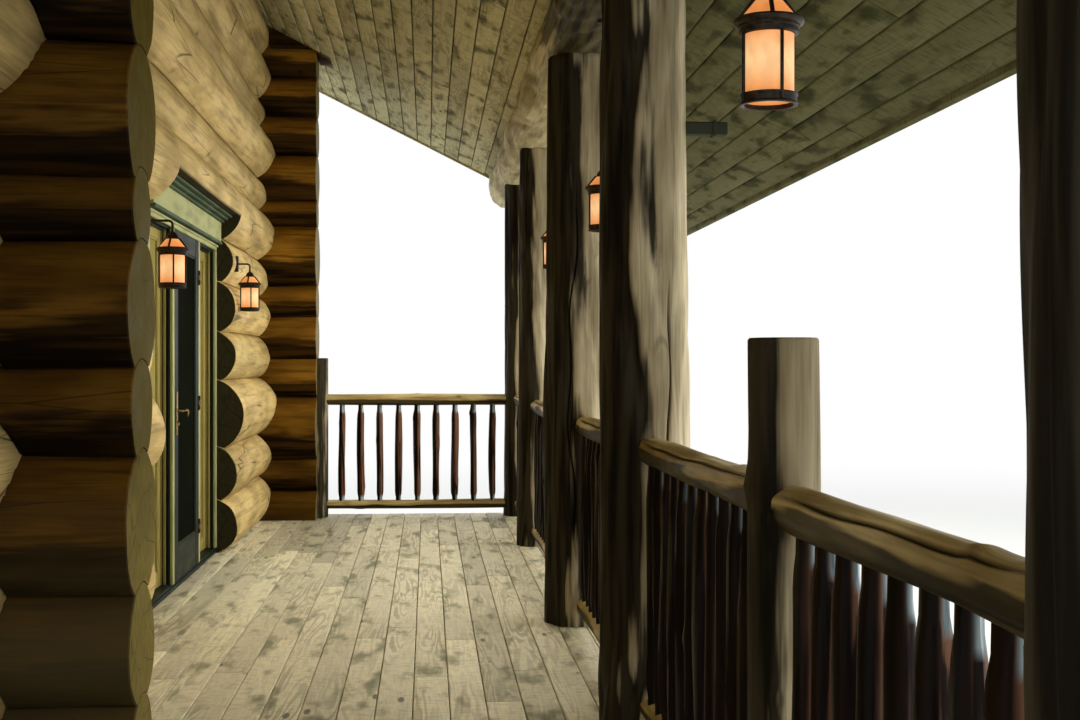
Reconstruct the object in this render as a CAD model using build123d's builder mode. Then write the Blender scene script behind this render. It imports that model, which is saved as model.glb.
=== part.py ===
from build123d import *
from math import cos, radians
import os

# The covered front porch of a log cabin, with its stretch of scribed log wall.
# Millimetres. X runs out from the wall to the eave, Y along the porch, Z up from the ground.
# The origin is on the ground, under the middle of the roof.

os.makedirs("parts", exist_ok=True)

# Levels. Heights of the logs, rails and door are given above the deck.
deck_level = 750.0
board_thickness = 38.0

# Plan. The wall line and the rail line carry everything else.
wall_line = -1580.0
near_wall_line = -1680.0
rail_line = 705.0
wall_start = -6250.0
wall_end = 5100.0
party_cut = -2020.0

# Roof, as a single slope falling away from the wall.
roof_half_width = 2070.0
roof_half_length = 6450.0
roof_slope = 0.5
ceiling_at_origin = 4162.0
ceiling_thickness = 25.0
rafter_depth = 140.0
rafter_width = 45.0
rafter_pitch = 600.0
cover_thickness = 45.0
trim_board = 25.0
trim_drop = 20.0

# Front wall logs, from the deck up: height of the axis and radius.
front_courses = [
    (180.0, 205.0),
    (540.0, 205.0),
    (950.0, 255.0),
    (1350.0, 195.0),
    (1690.0, 195.0),
    (2010.0, 178.0),
    (2370.0, 232.0),
    (2715.0, 160.0),
    (3055.0, 230.0),
    (3385.0, 150.0),
    (3685.0, 200.0),
    (4030.0, 200.0),
]

# Side wall logs. The first is a half log, so the walls lock half a course apart.
near_side_courses = [
    (-20.0, 180.0),
    (330.0, 215.0),
    (750.0, 260.0),
    (1140.0, 180.0),
    (1490.0, 240.0),
    (1830.0, 150.0),
    (2150.0, 250.0),
    (2570.0, 210.0),
    (2900.0, 190.0),
    (3250.0, 210.0),
    (3580.0, 170.0),
    (3930.0, 220.0),
]
far_side_courses = [
    (0.0, 250.0),
    (372.0, 150.0),
    (762.0, 270.0),
    (1186.0, 184.0),
    (1514.0, 200.0),
    (1820.0, 162.0),
    (2206.0, 260.0),
    (2570.0, 130.0),
    (2860.0, 215.0),
    (3220.0, 175.0),
    (3550.0, 180.0),
    (3870.0, 185.0),
    (4080.0, 240.0),
]
scribe_gap = 0.3
near_side_wall = -2430.0
far_side_wall = 4650.0
near_stub_end = -1050.0
far_stub_end = -1000.0
far_top_log_end = -880.0

# Door unit: a hinged leaf between two fixed sidelights, under a head board.
unit_start = 50.0
unit_width = 2380.0
unit_height = 2130.0
head_board_height = 190.0
leaf_opening = 850.0
frame_outer_face = -1515.0
head_board_face = -1475.0
frame_depth = 115.0
jamb_width = 45.0
head_height = 50.0
sill_height = 40.0
stop_width = 15.0
leaf_thickness = 45.0
leaf_gap = 5.0
leaf_stile = 110.0
leaf_bottom_rail = 200.0
sash_stile = 75.0
glass_thickness = 20.0

# Foundation and deck frame.
foundation_width = 300.0
deck_edge = 880.0
deck_far_end = 4900.0
joist_depth = 200.0
joist_width = 45.0
joist_pitch = 406.0
beam_size = 200.0
pier_size = 380.0

# Porch posts, near to far: place along the rail line, and the round at foot, middle and top.
post_places = [-5920.0, -2370.0, -290.0, 2700.0, 4670.0]
post_rounds = [
    (285.0, 280.0, 270.0),
    (330.0, 310.0, 300.0),
    (380.0, 352.0, 340.0),
    (262.0, 240.0, 232.0),
    (236.0, 220.0, 212.0),
]
plate_round = 380.0
plate_axis = 3010.0
seat_depth = 25.0
seat_length = 420.0
plate_end = 6250.0

# Railings.
newel_place = -4350.0
newel_round = 160.0
newel_height = 1357.0
half_newel_radius = 90.0
half_newel_height = 1350.0
top_rail_round = 100.0
top_rail_axis = 996.0
bottom_rail_round = 80.0
bottom_rail_axis = 105.0
socket_depth = 30.0
socket_gap = 0.3
spindle_round = 60.0
spindle_tenon = 45.0
tenon_length = 65.0
shoulder_length = 25.0
spindle_pitch = 145.0
end_rail_pitch = 160.0

# Lanterns. The heights given are those of the middle of the body, between foot and rim.
pendant_places = [-4210.0, -1190.0, 1280.0]
pendant_axis = 1969.0
wall_lantern_places = [-400.0, 2580.0]
wall_lantern_axis = 1750.0
wall_lantern_reach = 92.0
lantern_round = 132.0
lantern_body = 162.0
lantern_band = 26.0
lantern_lip = 4.0
lantern_bar = 8.0
lantern_collar_round = 142.0
lantern_collar = 20.0
lantern_rim_round = 160.0
lantern_rim = 16.0
lantern_cap_round = 136.0
lantern_cap_top_round = 68.0
lantern_cap = 44.0
lantern_dome_round = 56.0
lantern_dome = 38.0
lantern_glass_gap = 0.3
hanger_round = 12.0
arm_drop = 50.0

along_y = (90, 0, 0)
along_x = (0, 90, 0)

# Worked-out places.
unit_end = unit_start + unit_width
unit_middle = (unit_start + unit_end) / 2
opening_top = unit_height + head_board_height
frame_inner_face = frame_outer_face - frame_depth
leaf_inner_face = frame_outer_face - leaf_thickness
leaf_bottom = deck_level + sill_height + leaf_gap
leaf_top = deck_level + unit_height - head_height - leaf_gap
leaf_start = unit_middle - leaf_opening / 2 + leaf_gap
leaf_end = unit_middle + leaf_opening / 2 - leaf_gap
foundation_face = wall_line + foundation_width / 2
post_seat = deck_level + plate_axis - plate_round / 2 + seat_depth
plumb = 1 / cos(radians(26.565))
glass_round = lantern_round - 2 * lantern_bar - 2 * lantern_glass_gap
lantern_top = lantern_body / 2 + lantern_collar + lantern_rim + lantern_cap + lantern_dome
crossing_walls = [(near_side_wall, near_side_courses), (far_side_wall, far_side_courses)]


def ceiling_height(x):
    return ceiling_at_origin - roof_slope * x


def line_of_wall(axis, place):
    """The front wall is set back below the head of the door, on the near side of the door."""
    if axis < opening_top and place < unit_middle:
        return near_wall_line
    return wall_line


def roof_slab(bottom, top, inner, outer):
    """Outline of one layer of the roof, between two heights over the ceiling line."""
    Polygon(
        (inner, ceiling_height(inner) + bottom),
        (outer, ceiling_height(outer) + bottom),
        (outer, ceiling_height(outer) + top),
        (inner, ceiling_height(inner) + top),
        align=None,
    )


def trim_to_roof():
    """Takes off whatever would stand above the ceiling line."""
    reach = 2 * roof_half_width
    with BuildSketch(Plane.XZ) as above_ceiling:
        Polygon(
            (-reach, ceiling_height(-reach)),
            (reach, ceiling_height(reach)),
            (reach, ceiling_height(-reach) + reach),
            (-reach, ceiling_height(-reach) + reach),
            align=None,
        )
    extrude(above_ceiling.sketch, amount=2 * roof_half_length, both=True, mode=Mode.SUBTRACT)


def front_log(course, start, stop):
    """A log of the front wall, scribed over the log below it and the side logs it crosses."""
    axis, radius = front_courses[course]
    middle = (start + stop) / 2
    length = stop - start
    line = line_of_wall(axis, middle)
    with BuildPart() as log:
        with Locations((line, middle, deck_level + axis)):
            Cylinder(radius, length, rotation=along_y)
        if course > 0:
            lower_axis, lower_radius = front_courses[course - 1]
            lower_stretches = [middle]
            if lower_axis < opening_top:
                lower_stretches = [unit_middle - length, unit_middle + length]
            for lower_middle in lower_stretches:
                lower_line = line_of_wall(lower_axis, lower_middle)
                with Locations((lower_line, lower_middle, deck_level + lower_axis)):
                    Cylinder(lower_radius + scribe_gap, 2 * length, rotation=along_y,
                             mode=Mode.SUBTRACT)
        else:
            with Locations((line, middle, deck_level)):
                Box(2 * radius, length, 2 * radius, align=(Align.CENTER, Align.CENTER, Align.MAX),
                    mode=Mode.SUBTRACT)
        for side_wall, side_courses in crossing_walls:
            for side_axis, side_radius in side_courses:
                rests_on = side_axis < axis and side_axis + side_radius > axis - radius
                if rests_on and start < side_wall < stop:
                    with Locations((line, side_wall, deck_level + side_axis)):
                        Cylinder(side_radius + scribe_gap, 4 * radius, rotation=along_x,
                                 mode=Mode.SUBTRACT)
        if start < unit_start < stop and axis - radius < opening_top:
            with Locations((wall_line, unit_middle, deck_level + opening_top)):
                Box(3 * radius, unit_width, 2 * radius, align=(Align.CENTER, Align.CENTER, Align.MAX),
                    mode=Mode.SUBTRACT)
        if axis + radius > front_courses[-1][0]:
            trim_to_roof()
    return log.part


def side_log(side_courses, course, side_wall, stub_end):
    """A log of a side wall, notched over the front log it crosses, with its end left standing out."""
    axis, radius = side_courses[course]
    middle = (party_cut + stub_end) / 2
    length = stub_end - party_cut
    with BuildPart() as log:
        with Locations((middle, side_wall, deck_level + axis)):
            Cylinder(radius, length, rotation=along_x)
        if course > 0:
            lower_axis, lower_radius = side_courses[course - 1]
            with Locations((middle, side_wall, deck_level + lower_axis)):
                Cylinder(lower_radius + scribe_gap, 2 * length, rotation=along_x, mode=Mode.SUBTRACT)
        else:
            with Locations((middle, side_wall, deck_level)):
                Box(length, 2 * radius, 2 * radius, align=(Align.CENTER, Align.CENTER, Align.MAX),
                    mode=Mode.SUBTRACT)
        for front_axis, front_radius in front_courses:
            if front_axis < axis and front_axis + front_radius > axis - radius:
                line = line_of_wall(front_axis, side_wall)
                with Locations((line, side_wall, deck_level + front_axis)):
                    Cylinder(front_radius + scribe_gap, 4 * radius, rotation=along_y,
                             mode=Mode.SUBTRACT)
        if deck_level + axis + radius > ceiling_height(stub_end):
            trim_to_roof()
    return log.part


# Front wall, beside the door near and far, and over it. Alternate courses share a node.
beside_door = range(0, 6)
over_door = range(6, len(front_courses))
front_wall_parts = [
    ("front_wall_near", beside_door, wall_start, unit_start),
    ("front_wall_far", beside_door, unit_end, wall_end),
    ("front_wall_over_door", over_door, wall_start, wall_end),
]
for part_name, courses, start, stop in front_wall_parts:
    for layer, first in (("odd_logs", 0), ("even_logs", 1)):
        with BuildPart() as front_wall:
            for course in courses:
                if course % 2 == first:
                    add(front_log(course, start, stop))
        front_wall.part.label = f"{part_name}_{layer}"
        export_step(front_wall.part, f"parts/{part_name}_{layer}.step")

# Side walls: only the stretch that locks into the front wall, cut plain inside.
side_wall_parts = [
    ("near_side_wall", near_side_wall, near_side_courses, near_stub_end, near_stub_end),
    ("far_side_wall", far_side_wall, far_side_courses, far_stub_end, far_top_log_end),
]
for part_name, side_wall, side_courses, stub_end, top_log_end in side_wall_parts:
    for layer, first in (("odd_logs", 0), ("even_logs", 1)):
        with BuildPart() as side_wall_logs:
            for course in range(first, len(side_courses), 2):
                end = top_log_end if course == len(side_courses) - 1 else stub_end
                add(side_log(side_courses, course, side_wall, end))
        side_wall_logs.part.label = f"{part_name}_{layer}"
        export_step(side_wall_logs.part, f"parts/{part_name}_{layer}.step")

# Foundation under the front wall, with short returns under the side walls.
with BuildPart() as foundation:
    with BuildSketch():
        with Locations((wall_line, (wall_start + wall_end) / 2)):
            Rectangle(foundation_width, wall_end - wall_start)
        for side_wall in (near_side_wall, far_side_wall):
            with Locations((party_cut, side_wall)):
                Rectangle(wall_line - party_cut, foundation_width, align=(Align.MIN, Align.CENTER))
    extrude(amount=deck_level)
foundation.part.label = "foundation"
export_step(foundation.part, "parts/foundation.step")

# Deck: one layer of boards on joists, carried by the foundation and by a beam on piers.
deck_width = deck_edge - foundation_face
deck_length = deck_far_end - wall_start
deck_middle = ((foundation_face + deck_edge) / 2, (wall_start + deck_far_end) / 2)
joist_top = deck_level - board_thickness
beam_top = joist_top - joist_depth
pier_top = beam_top - beam_size
with BuildPart() as deck_boards:
    with BuildSketch(Plane.XY.offset(joist_top)):
        with Locations(deck_middle):
            Rectangle(deck_width, deck_length)
    extrude(amount=board_thickness)
deck_boards.part.label = "deck_boards"
export_step(deck_boards.part, "parts/deck_boards.step")

joist_bays = int(deck_length // joist_pitch)
bay_pitch = (deck_length - joist_width) / joist_bays
with BuildPart() as deck_frame:
    with BuildSketch(Plane.XY.offset(beam_top)):
        with Locations(deck_middle):
            Rectangle(deck_width, deck_length)
            with GridLocations(0, bay_pitch, 1, joist_bays):
                Rectangle(deck_width - 2 * joist_width, bay_pitch - joist_width, mode=Mode.SUBTRACT)
    extrude(amount=joist_depth)
deck_frame.part.label = "deck_frame"
export_step(deck_frame.part, "parts/deck_frame.step")

with BuildPart() as deck_beam:
    with BuildSketch(Plane.XY.offset(pier_top)):
        with Locations((rail_line, (wall_start + deck_far_end) / 2)):
            Rectangle(beam_size, deck_length)
    extrude(amount=beam_size)
deck_beam.part.label = "deck_beam"
export_step(deck_beam.part, "parts/deck_beam.step")

pier_places = [(rail_line, place) for place in post_places + [newel_place]]
with BuildPart() as deck_piers:
    with BuildSketch():
        with Locations(*pier_places):
            Rectangle(pier_size, pier_size)
    extrude(amount=pier_top)
deck_piers.part.label = "deck_piers"
export_step(deck_piers.part, "parts/deck_piers.step")


def rail_sockets(x, y, toward):
    """Round sockets that take the ends of both rails, on one side of a post."""
    for axis, round_size in ((top_rail_axis, top_rail_round), (bottom_rail_axis, bottom_rail_round)):
        rotation = along_y if toward.Y else along_x
        with Locations((x + toward.X, y + toward.Y, deck_level + axis)):
            Cylinder(round_size / 2 + socket_gap, 2 * socket_depth, rotation=rotation,
                     mode=Mode.SUBTRACT)


def rail_reach(round_size):
    """Distance from a post's axis to the bottom of a rail's socket."""
    return round_size / 2 - socket_depth


# Porch posts: peeled logs, thicker at the foot, each with a flat top under the plate log.
for number, (place, rounds) in enumerate(zip(post_places, post_rounds)):
    foot_round, middle_round, top_round = rounds
    with BuildPart() as post:
        heights = (deck_level, (deck_level + post_seat) / 2, post_seat)
        for height, round_size in zip(heights, rounds):
            with BuildSketch(Plane.XY.offset(height)):
                with Locations((rail_line, place)):
                    Circle(round_size / 2)
        loft()
        reach = rail_reach(middle_round) + socket_depth
        if number < len(post_places) - 1:
            rail_sockets(rail_line, place, Vector(0, reach, 0))
        if number > 0:
            rail_sockets(rail_line, place, Vector(0, -reach, 0))
        if number == len(post_places) - 1:
            rail_sockets(rail_line, place, Vector(-reach, 0, 0))
    post.part.label = f"porch_post_{number + 1}"
    export_step(post.part, f"parts/porch_post_{number + 1}.step")

# Newel on the rail line, with an eased top, and the half round one against the far stub.
with BuildPart() as newel:
    with BuildSketch(Plane.XY.offset(deck_level)):
        with Locations((rail_line, newel_place)):
            Circle(newel_round / 2)
    extrude(amount=newel_height)
    chamfer(newel.edges().group_by(Axis.Z)[-1], 15)
    for toward in (-1, 1):
        rail_sockets(rail_line, newel_place, Vector(0, toward * newel_round / 2, 0))
newel.part.label = "newel_post"
export_step(newel.part, "parts/newel_post.step")

with BuildPart() as half_newel:
    with BuildSketch(Plane.XY.offset(deck_level)):
        with Locations((far_stub_end, post_places[-1])):
            Circle(half_newel_radius)
            Rectangle(2 * half_newel_radius, 2 * half_newel_radius, align=(Align.MAX, Align.CENTER),
                      mode=Mode.SUBTRACT)
    extrude(amount=half_newel_height)
    rail_sockets(far_stub_end, post_places[-1], Vector(half_newel_radius, 0, 0))
half_newel.part.label = "half_newel_post"
export_step(half_newel.part, "parts/half_newel_post.step")


def railing(start, stop, pitch, plane):
    """Two rails and a row of tenoned spindles, standing on a plane whose X runs along the rails."""
    length = stop - start
    middle = (start + stop) / 2
    count = int((length - 2 * socket_depth) // pitch)
    bottom = bottom_rail_axis
    top = top_rail_axis
    levels = [
        (bottom, spindle_tenon, tenon_length),
        (bottom + tenon_length + shoulder_length, spindle_round,
         top - bottom - 2 * (tenon_length + shoulder_length)),
        (top - tenon_length, spindle_tenon, tenon_length),
    ]
    for axis, round_size in ((top, top_rail_round), (bottom, bottom_rail_round)):
        with Locations(plane * Location((middle, 0, axis))):
            Cylinder(round_size / 2, length, rotation=along_x)
    for level, round_size, height in levels:
        with BuildSketch(plane.offset(level)) as spindles:
            with Locations((middle, 0)):
                with GridLocations(pitch, 0, count, 1):
                    RegularPolygon(round_size / 2, 6)
        extrude(spindles.sketch, amount=height)
    for level, low_round, high_round in (
        (bottom + tenon_length, spindle_tenon, spindle_round),
        (top - tenon_length - shoulder_length, spindle_round, spindle_tenon),
    ):
        spread = (Vector(shoulder_length, 0).get_signed_angle(
            Vector(shoulder_length, (high_round - low_round) / 2), Vector(0, 0, 1)))
        with BuildSketch(plane.offset(level)) as shoulders:
            with Locations((middle, 0)):
                with GridLocations(pitch, 0, count, 1):
                    RegularPolygon(low_round / 2, 6)
        extrude(shoulders.sketch, amount=shoulder_length, taper=-spread)


def side_railing_ends():
    """Start and stop of each railing along the rail line, from socket bottom to socket bottom."""
    uprights = [(place, rounds[1]) for place, rounds in zip(post_places, post_rounds)]
    uprights.insert(1, (newel_place, newel_round))
    for (start, start_round), (stop, stop_round) in zip(uprights, uprights[1:]):
        yield start + rail_reach(start_round), stop - rail_reach(stop_round)


rail_plane = Plane(origin=(rail_line, 0, deck_level), x_dir=(0, 1, 0), z_dir=(0, 0, 1))
for number, (start, stop) in enumerate(side_railing_ends()):
    with BuildPart() as side_railing:
        railing(start, stop, spindle_pitch, rail_plane)
    side_railing.part.label = f"railing_{number + 1}"
    export_step(side_railing.part, f"parts/railing_{number + 1}.step")

end_plane = Plane(origin=(0, post_places[-1], deck_level), x_dir=(1, 0, 0), z_dir=(0, 0, 1))
with BuildPart() as end_railing:
    railing(
        far_stub_end + rail_reach(2 * half_newel_radius),
        rail_line - rail_reach(post_rounds[-1][1]),
        end_rail_pitch,
        end_plane,
    )
end_railing.part.label = "end_railing"
export_step(end_railing.part, "parts/end_railing.step")

# Plate log on the posts, with a flat seat at each and its top trimmed to the roof.
with BuildPart() as plate_log:
    with Locations((rail_line, (wall_start + plate_end) / 2, deck_level + plate_axis)):
        Cylinder(plate_round / 2, plate_end - wall_start, rotation=along_y)
    for place in post_places:
        with Locations((rail_line, place, post_seat)):
            Box(plate_round, seat_length, plate_round, align=(Align.CENTER, Align.CENTER, Align.MAX),
                mode=Mode.SUBTRACT)
    trim_to_roof()
plate_log.part.label = "plate_log"
export_step(plate_log.part, "parts/plate_log.step")

# Roof layers, from the ceiling boards up: boards, rafters, cover, and the boards at its edges.
ceiling_top = ceiling_thickness * plumb
rafter_top = ceiling_top + rafter_depth * plumb
cover_top = rafter_top + cover_thickness * plumb
roof_inner = -roof_half_width
roof_outer = roof_half_width - trim_board
roof_length = 2 * roof_half_length - trim_board
with BuildPart() as ceiling_boards:
    with BuildSketch(Plane.XZ.offset(roof_half_length)):
        roof_slab(0, ceiling_top, roof_inner, roof_outer)
    extrude(amount=-roof_length)
ceiling_boards.part.label = "ceiling_boards"
export_step(ceiling_boards.part, "parts/ceiling_boards.step")

rafter_bays = int(roof_length // rafter_pitch)
rafter_spacing = (roof_length - rafter_width) / rafter_bays
with BuildPart() as rafters:
    with BuildSketch(Plane.XZ.offset(roof_half_length)):
        roof_slab(ceiling_top, rafter_top, roof_inner, roof_outer)
    extrude(amount=-roof_length)
    for bay in range(rafter_bays):
        bay_start = roof_half_length - rafter_width - bay * rafter_spacing
        with BuildSketch(Plane.XZ.offset(bay_start)):
            roof_slab(ceiling_top, rafter_top, roof_inner + rafter_width, roof_outer - rafter_width)
        extrude(amount=-(rafter_spacing - rafter_width), mode=Mode.SUBTRACT)
rafters.part.label = "rafters"
export_step(rafters.part, "parts/rafters.step")

with BuildPart() as roof_cover:
    with BuildSketch(Plane.XZ.offset(roof_half_length)):
        roof_slab(rafter_top, cover_top, roof_inner, roof_half_width)
    extrude(amount=-2 * roof_half_length)
roof_cover.part.label = "roof_cover"
export_step(roof_cover.part, "parts/roof_cover.step")

with BuildPart() as eave_board:
    with BuildSketch(Plane.XZ.offset(roof_half_length)):
        roof_slab(-trim_drop, rafter_top, roof_outer, roof_half_width)
    extrude(amount=-roof_length)
eave_board.part.label = "eave_board"
export_step(eave_board.part, "parts/eave_board.step")

with BuildPart() as gable_board:
    with BuildSketch(Plane.XZ.offset(trim_board - roof_half_length)):
        roof_slab(-trim_drop, rafter_top, roof_inner, roof_half_width)
    extrude(amount=-trim_board)
gable_board.part.label = "gable_board"
export_step(gable_board.part, "parts/gable_board.step")

# Door unit: sill, head, jambs and mullions, with stops on the inside, against which the leaf closes.
frame_size = (frame_outer_face - frame_inner_face, unit_width)
frame_middle = ((frame_outer_face + frame_inner_face) / 2, unit_middle)
frame_top = deck_level + unit_height
with BuildPart() as door_sill:
    with BuildSketch(Plane.XY.offset(deck_level)):
        with Locations(frame_middle):
            Rectangle(*frame_size)
    extrude(amount=sill_height)
door_sill.part.label = "door_sill"
export_step(door_sill.part, "parts/door_sill.step")

stop_depth = leaf_inner_face - leaf_gap - frame_inner_face
with BuildPart() as door_head:
    with BuildSketch(Plane.XY.offset(frame_top - head_height)):
        with Locations(frame_middle):
            Rectangle(*frame_size)
    extrude(amount=head_height)
    with BuildSketch(Plane.XY.offset(frame_top - head_height)):
        with Locations((frame_inner_face, unit_middle)):
            Rectangle(stop_depth, leaf_opening - 2 * stop_width, align=(Align.MIN, Align.CENTER))
    extrude(amount=-stop_width)
door_head.part.label = "door_head"
export_step(door_head.part, "parts/door_head.step")

with BuildPart() as head_board:
    with BuildSketch(Plane.XY.offset(frame_top)):
        with Locations((frame_inner_face, unit_middle)):
            Rectangle(head_board_face - frame_inner_face, unit_width, align=(Align.MIN, Align.CENTER))
    extrude(amount=head_board_height)
head_board.part.label = "head_board"
export_step(head_board.part, "parts/head_board.step")

jamb_bottom = deck_level + sill_height
jamb_length = unit_height - sill_height - head_height
jamb_middles = [
    unit_start + jamb_width / 2,
    unit_middle - (leaf_opening + jamb_width) / 2,
    unit_middle + (leaf_opening + jamb_width) / 2,
    unit_end - jamb_width / 2,
]
with BuildPart() as door_jambs:
    with BuildSketch(Plane.XY.offset(jamb_bottom)):
        with Locations(*[(frame_middle[0], middle) for middle in jamb_middles]):
            Rectangle(frame_size[0], jamb_width)
        for side in (-1, 1):
            with Locations((frame_inner_face, unit_middle + side * (leaf_opening - stop_width) / 2)):
                Rectangle(stop_depth, stop_width, align=(Align.MIN, Align.CENTER))
    extrude(amount=jamb_length)
door_jambs.part.label = "door_jambs"
export_step(door_jambs.part, "parts/door_jambs.step")

# Fixed sidelights: a sash and a pane of insulating glass in each.
sidelight_width = (unit_width - leaf_opening) / 2 - 2 * jamb_width
sidelight_middles = [
    unit_start + jamb_width + sidelight_width / 2,
    unit_end - jamb_width - sidelight_width / 2,
]
sash_plane = Plane(origin=(frame_inner_face, 0, jamb_bottom), x_dir=(0, 1, 0), z_dir=(1, 0, 0))
sash_places = [(middle, jamb_length / 2) for middle in sidelight_middles]
with BuildPart() as sidelight_sashes:
    with BuildSketch(sash_plane):
        with Locations(*sash_places):
            Rectangle(sidelight_width, jamb_length)
            Rectangle(sidelight_width - 2 * sash_stile, jamb_length - 2 * sash_stile,
                      mode=Mode.SUBTRACT)
    extrude(amount=leaf_thickness)
sidelight_sashes.part.label = "sidelight_sashes"
export_step(sidelight_sashes.part, "parts/sidelight_sashes.step")

glass_plane = sash_plane.offset((leaf_thickness - glass_thickness) / 2)
with BuildPart() as sidelight_glass:
    with BuildSketch(glass_plane):
        with Locations(*sash_places):
            Rectangle(sidelight_width - 2 * sash_stile, jamb_length - 2 * sash_stile)
    extrude(amount=glass_thickness)
sidelight_glass.part.label = "sidelight_glass"
export_step(sidelight_glass.part, "parts/sidelight_glass.step")

# Door leaf with its pane, flush with the face of the frame. It swings out, on hinges at its far edge.
leaf_width = leaf_end - leaf_start
leaf_height = leaf_top - leaf_bottom
leaf_plane = Plane(origin=(leaf_inner_face, unit_middle, leaf_bottom), x_dir=(0, 1, 0), z_dir=(1, 0, 0))
pane_width = leaf_width - 2 * leaf_stile
pane_height = leaf_height - leaf_stile - leaf_bottom_rail
pane_place = (0, leaf_bottom_rail + pane_height / 2)
with BuildPart() as door_leaf:
    with BuildSketch(leaf_plane):
        with Locations((0, leaf_height / 2)):
            Rectangle(leaf_width, leaf_height)
        with Locations(pane_place):
            Rectangle(pane_width, pane_height, mode=Mode.SUBTRACT)
    extrude(amount=leaf_thickness)
door_leaf.part.label = "door_leaf"
export_step(door_leaf.part, "parts/door_leaf.step")

with BuildPart() as door_glass:
    with BuildSketch(leaf_plane.offset((leaf_thickness - glass_thickness) / 2)):
        with Locations(pane_place):
            Rectangle(pane_width, pane_height)
    extrude(amount=glass_thickness)
door_glass.part.label = "door_glass"
export_step(door_glass.part, "parts/door_glass.step")

# Lever handles on long plates, one on each face of the lock stile.
plate_width = 40.0
plate_height = 250.0
plate_thickness = 8.0
lever_round = 18.0
lever_length = 115.0
lever_stand = 60.0
handle_axis = 1030.0
handle_place = leaf_start + leaf_stile / 2
with BuildPart() as door_handles:
    for face, out in ((frame_outer_face, 1), (leaf_inner_face, -1)):
        face_plane = Plane(origin=(face, handle_place, deck_level + handle_axis), x_dir=(0, 1, 0),
                           z_dir=(out, 0, 0))
        with BuildSketch(face_plane):
            Rectangle(plate_width, plate_height)
        extrude(amount=plate_thickness)
        with BuildSketch(face_plane):
            Circle(lever_round / 2)
        extrude(amount=lever_stand)
        with Locations((face + out * (lever_stand - lever_round / 2), handle_place,
                        deck_level + handle_axis)):
            Cylinder(lever_round / 2, lever_length, rotation=(-90, 0, 0),
                     align=(Align.CENTER, Align.CENTER, Align.MIN))
door_handles.part.label = "door_handles"
export_step(door_handles.part, "parts/door_handles.step")

# Hinges: the frame carries the pin and its outer knuckles, the leaf the middle knuckle.
hinge_heights = [230.0, 1010.0, 1800.0]
knuckle_round = 16.0
pin_round = 9.0
knuckle_length = 30.0
hinge_gap = 0.5
hinge_stand = 1.0
hinge_leaf_width = 30.0
hinge_axis_x = frame_outer_face + knuckle_round / 2 + hinge_stand
hinge_axis_y = unit_middle + leaf_opening / 2 - leaf_gap / 2
with BuildPart() as hinge_pins:
    for height in hinge_heights:
        level = leaf_bottom + height
        with Locations((hinge_axis_x, hinge_axis_y, level)):
            Cylinder(pin_round / 2, 3 * knuckle_length)
            with Locations((0, 0, -knuckle_length), (0, 0, knuckle_length)):
                Cylinder(knuckle_round / 2, knuckle_length - hinge_gap)
                Box(knuckle_round / 2 + hinge_stand, hinge_leaf_width, knuckle_length - hinge_gap,
                    align=(Align.MAX, Align.MIN, Align.CENTER))
hinge_pins.part.label = "hinge_pins"
export_step(hinge_pins.part, "parts/hinge_pins.step")

with BuildPart() as hinge_knuckles:
    for height in hinge_heights:
        level = leaf_bottom + height
        with Locations((hinge_axis_x, hinge_axis_y, level)):
            Cylinder(knuckle_round / 2, knuckle_length - hinge_gap)
            Box(knuckle_round / 2 + hinge_stand, hinge_leaf_width, knuckle_length - hinge_gap,
                align=(Align.MAX, Align.MAX, Align.CENTER))
            Cylinder(pin_round / 2 + 0.3, 2 * knuckle_length, mode=Mode.SUBTRACT)
hinge_knuckles.part.label = "hinge_knuckles"
export_step(hinge_knuckles.part, "parts/hinge_knuckles.step")


def lantern_cage(x, y, axis):
    """Round lantern: open foot band with a lip, four bars, collar, rim, pitched cap and dome."""
    bottom = deck_level + axis - lantern_body / 2
    top = bottom + lantern_body
    with BuildSketch(Plane.XY.offset(bottom)) as band:
        with Locations((x, y)):
            Circle(lantern_round / 2)
            Circle(glass_round / 2 + lantern_glass_gap, mode=Mode.SUBTRACT)
    extrude(band.sketch, amount=lantern_band)
    with BuildSketch(Plane.XY.offset(bottom)) as lip:
        with Locations((x, y)):
            Circle(lantern_round / 2)
            Circle(glass_round / 2 - lantern_lip, mode=Mode.SUBTRACT)
    extrude(lip.sketch, amount=lantern_lip)
    with BuildSketch(Plane.XY.offset(bottom)) as bars:
        with Locations((x, y)):
            with PolarLocations(lantern_round / 2 - lantern_bar / 2, 4):
                Rectangle(lantern_bar, lantern_bar)
    extrude(bars.sketch, amount=lantern_body)
    level = top
    for low_round, high_round, height in (
        (lantern_collar_round, lantern_collar_round, lantern_collar),
        (lantern_rim_round, lantern_rim_round, lantern_rim),
        (lantern_cap_round, lantern_cap_top_round, lantern_cap),
        (lantern_dome_round, hanger_round, lantern_dome),
    ):
        with Locations((x, y, level)):
            if low_round == high_round:
                Cylinder(low_round / 2, height, align=(Align.CENTER, Align.CENTER, Align.MIN))
            else:
                Cone(low_round / 2, high_round / 2, height, align=(Align.CENTER, Align.CENTER, Align.MIN))
        level += height


# Lanterns hung under the plate log on plain rods.
with BuildPart() as pendant_lanterns:
    for place in pendant_places:
        lantern_cage(rail_line, place, pendant_axis)
        rod_bottom = pendant_axis + lantern_top
        with BuildSketch(Plane.XY.offset(deck_level + rod_bottom)):
            with Locations((rail_line, place)):
                Circle(hanger_round / 2)
        extrude(amount=plate_axis - rod_bottom)
        with Locations((rail_line, place, deck_level + plate_axis)):
            Cylinder(plate_round / 2 + scribe_gap, 2 * lantern_rim_round, rotation=along_y,
                     mode=Mode.SUBTRACT)
pendant_lanterns.part.label = "pendant_lanterns"
export_step(pendant_lanterns.part, "parts/pendant_lanterns.step")

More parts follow.
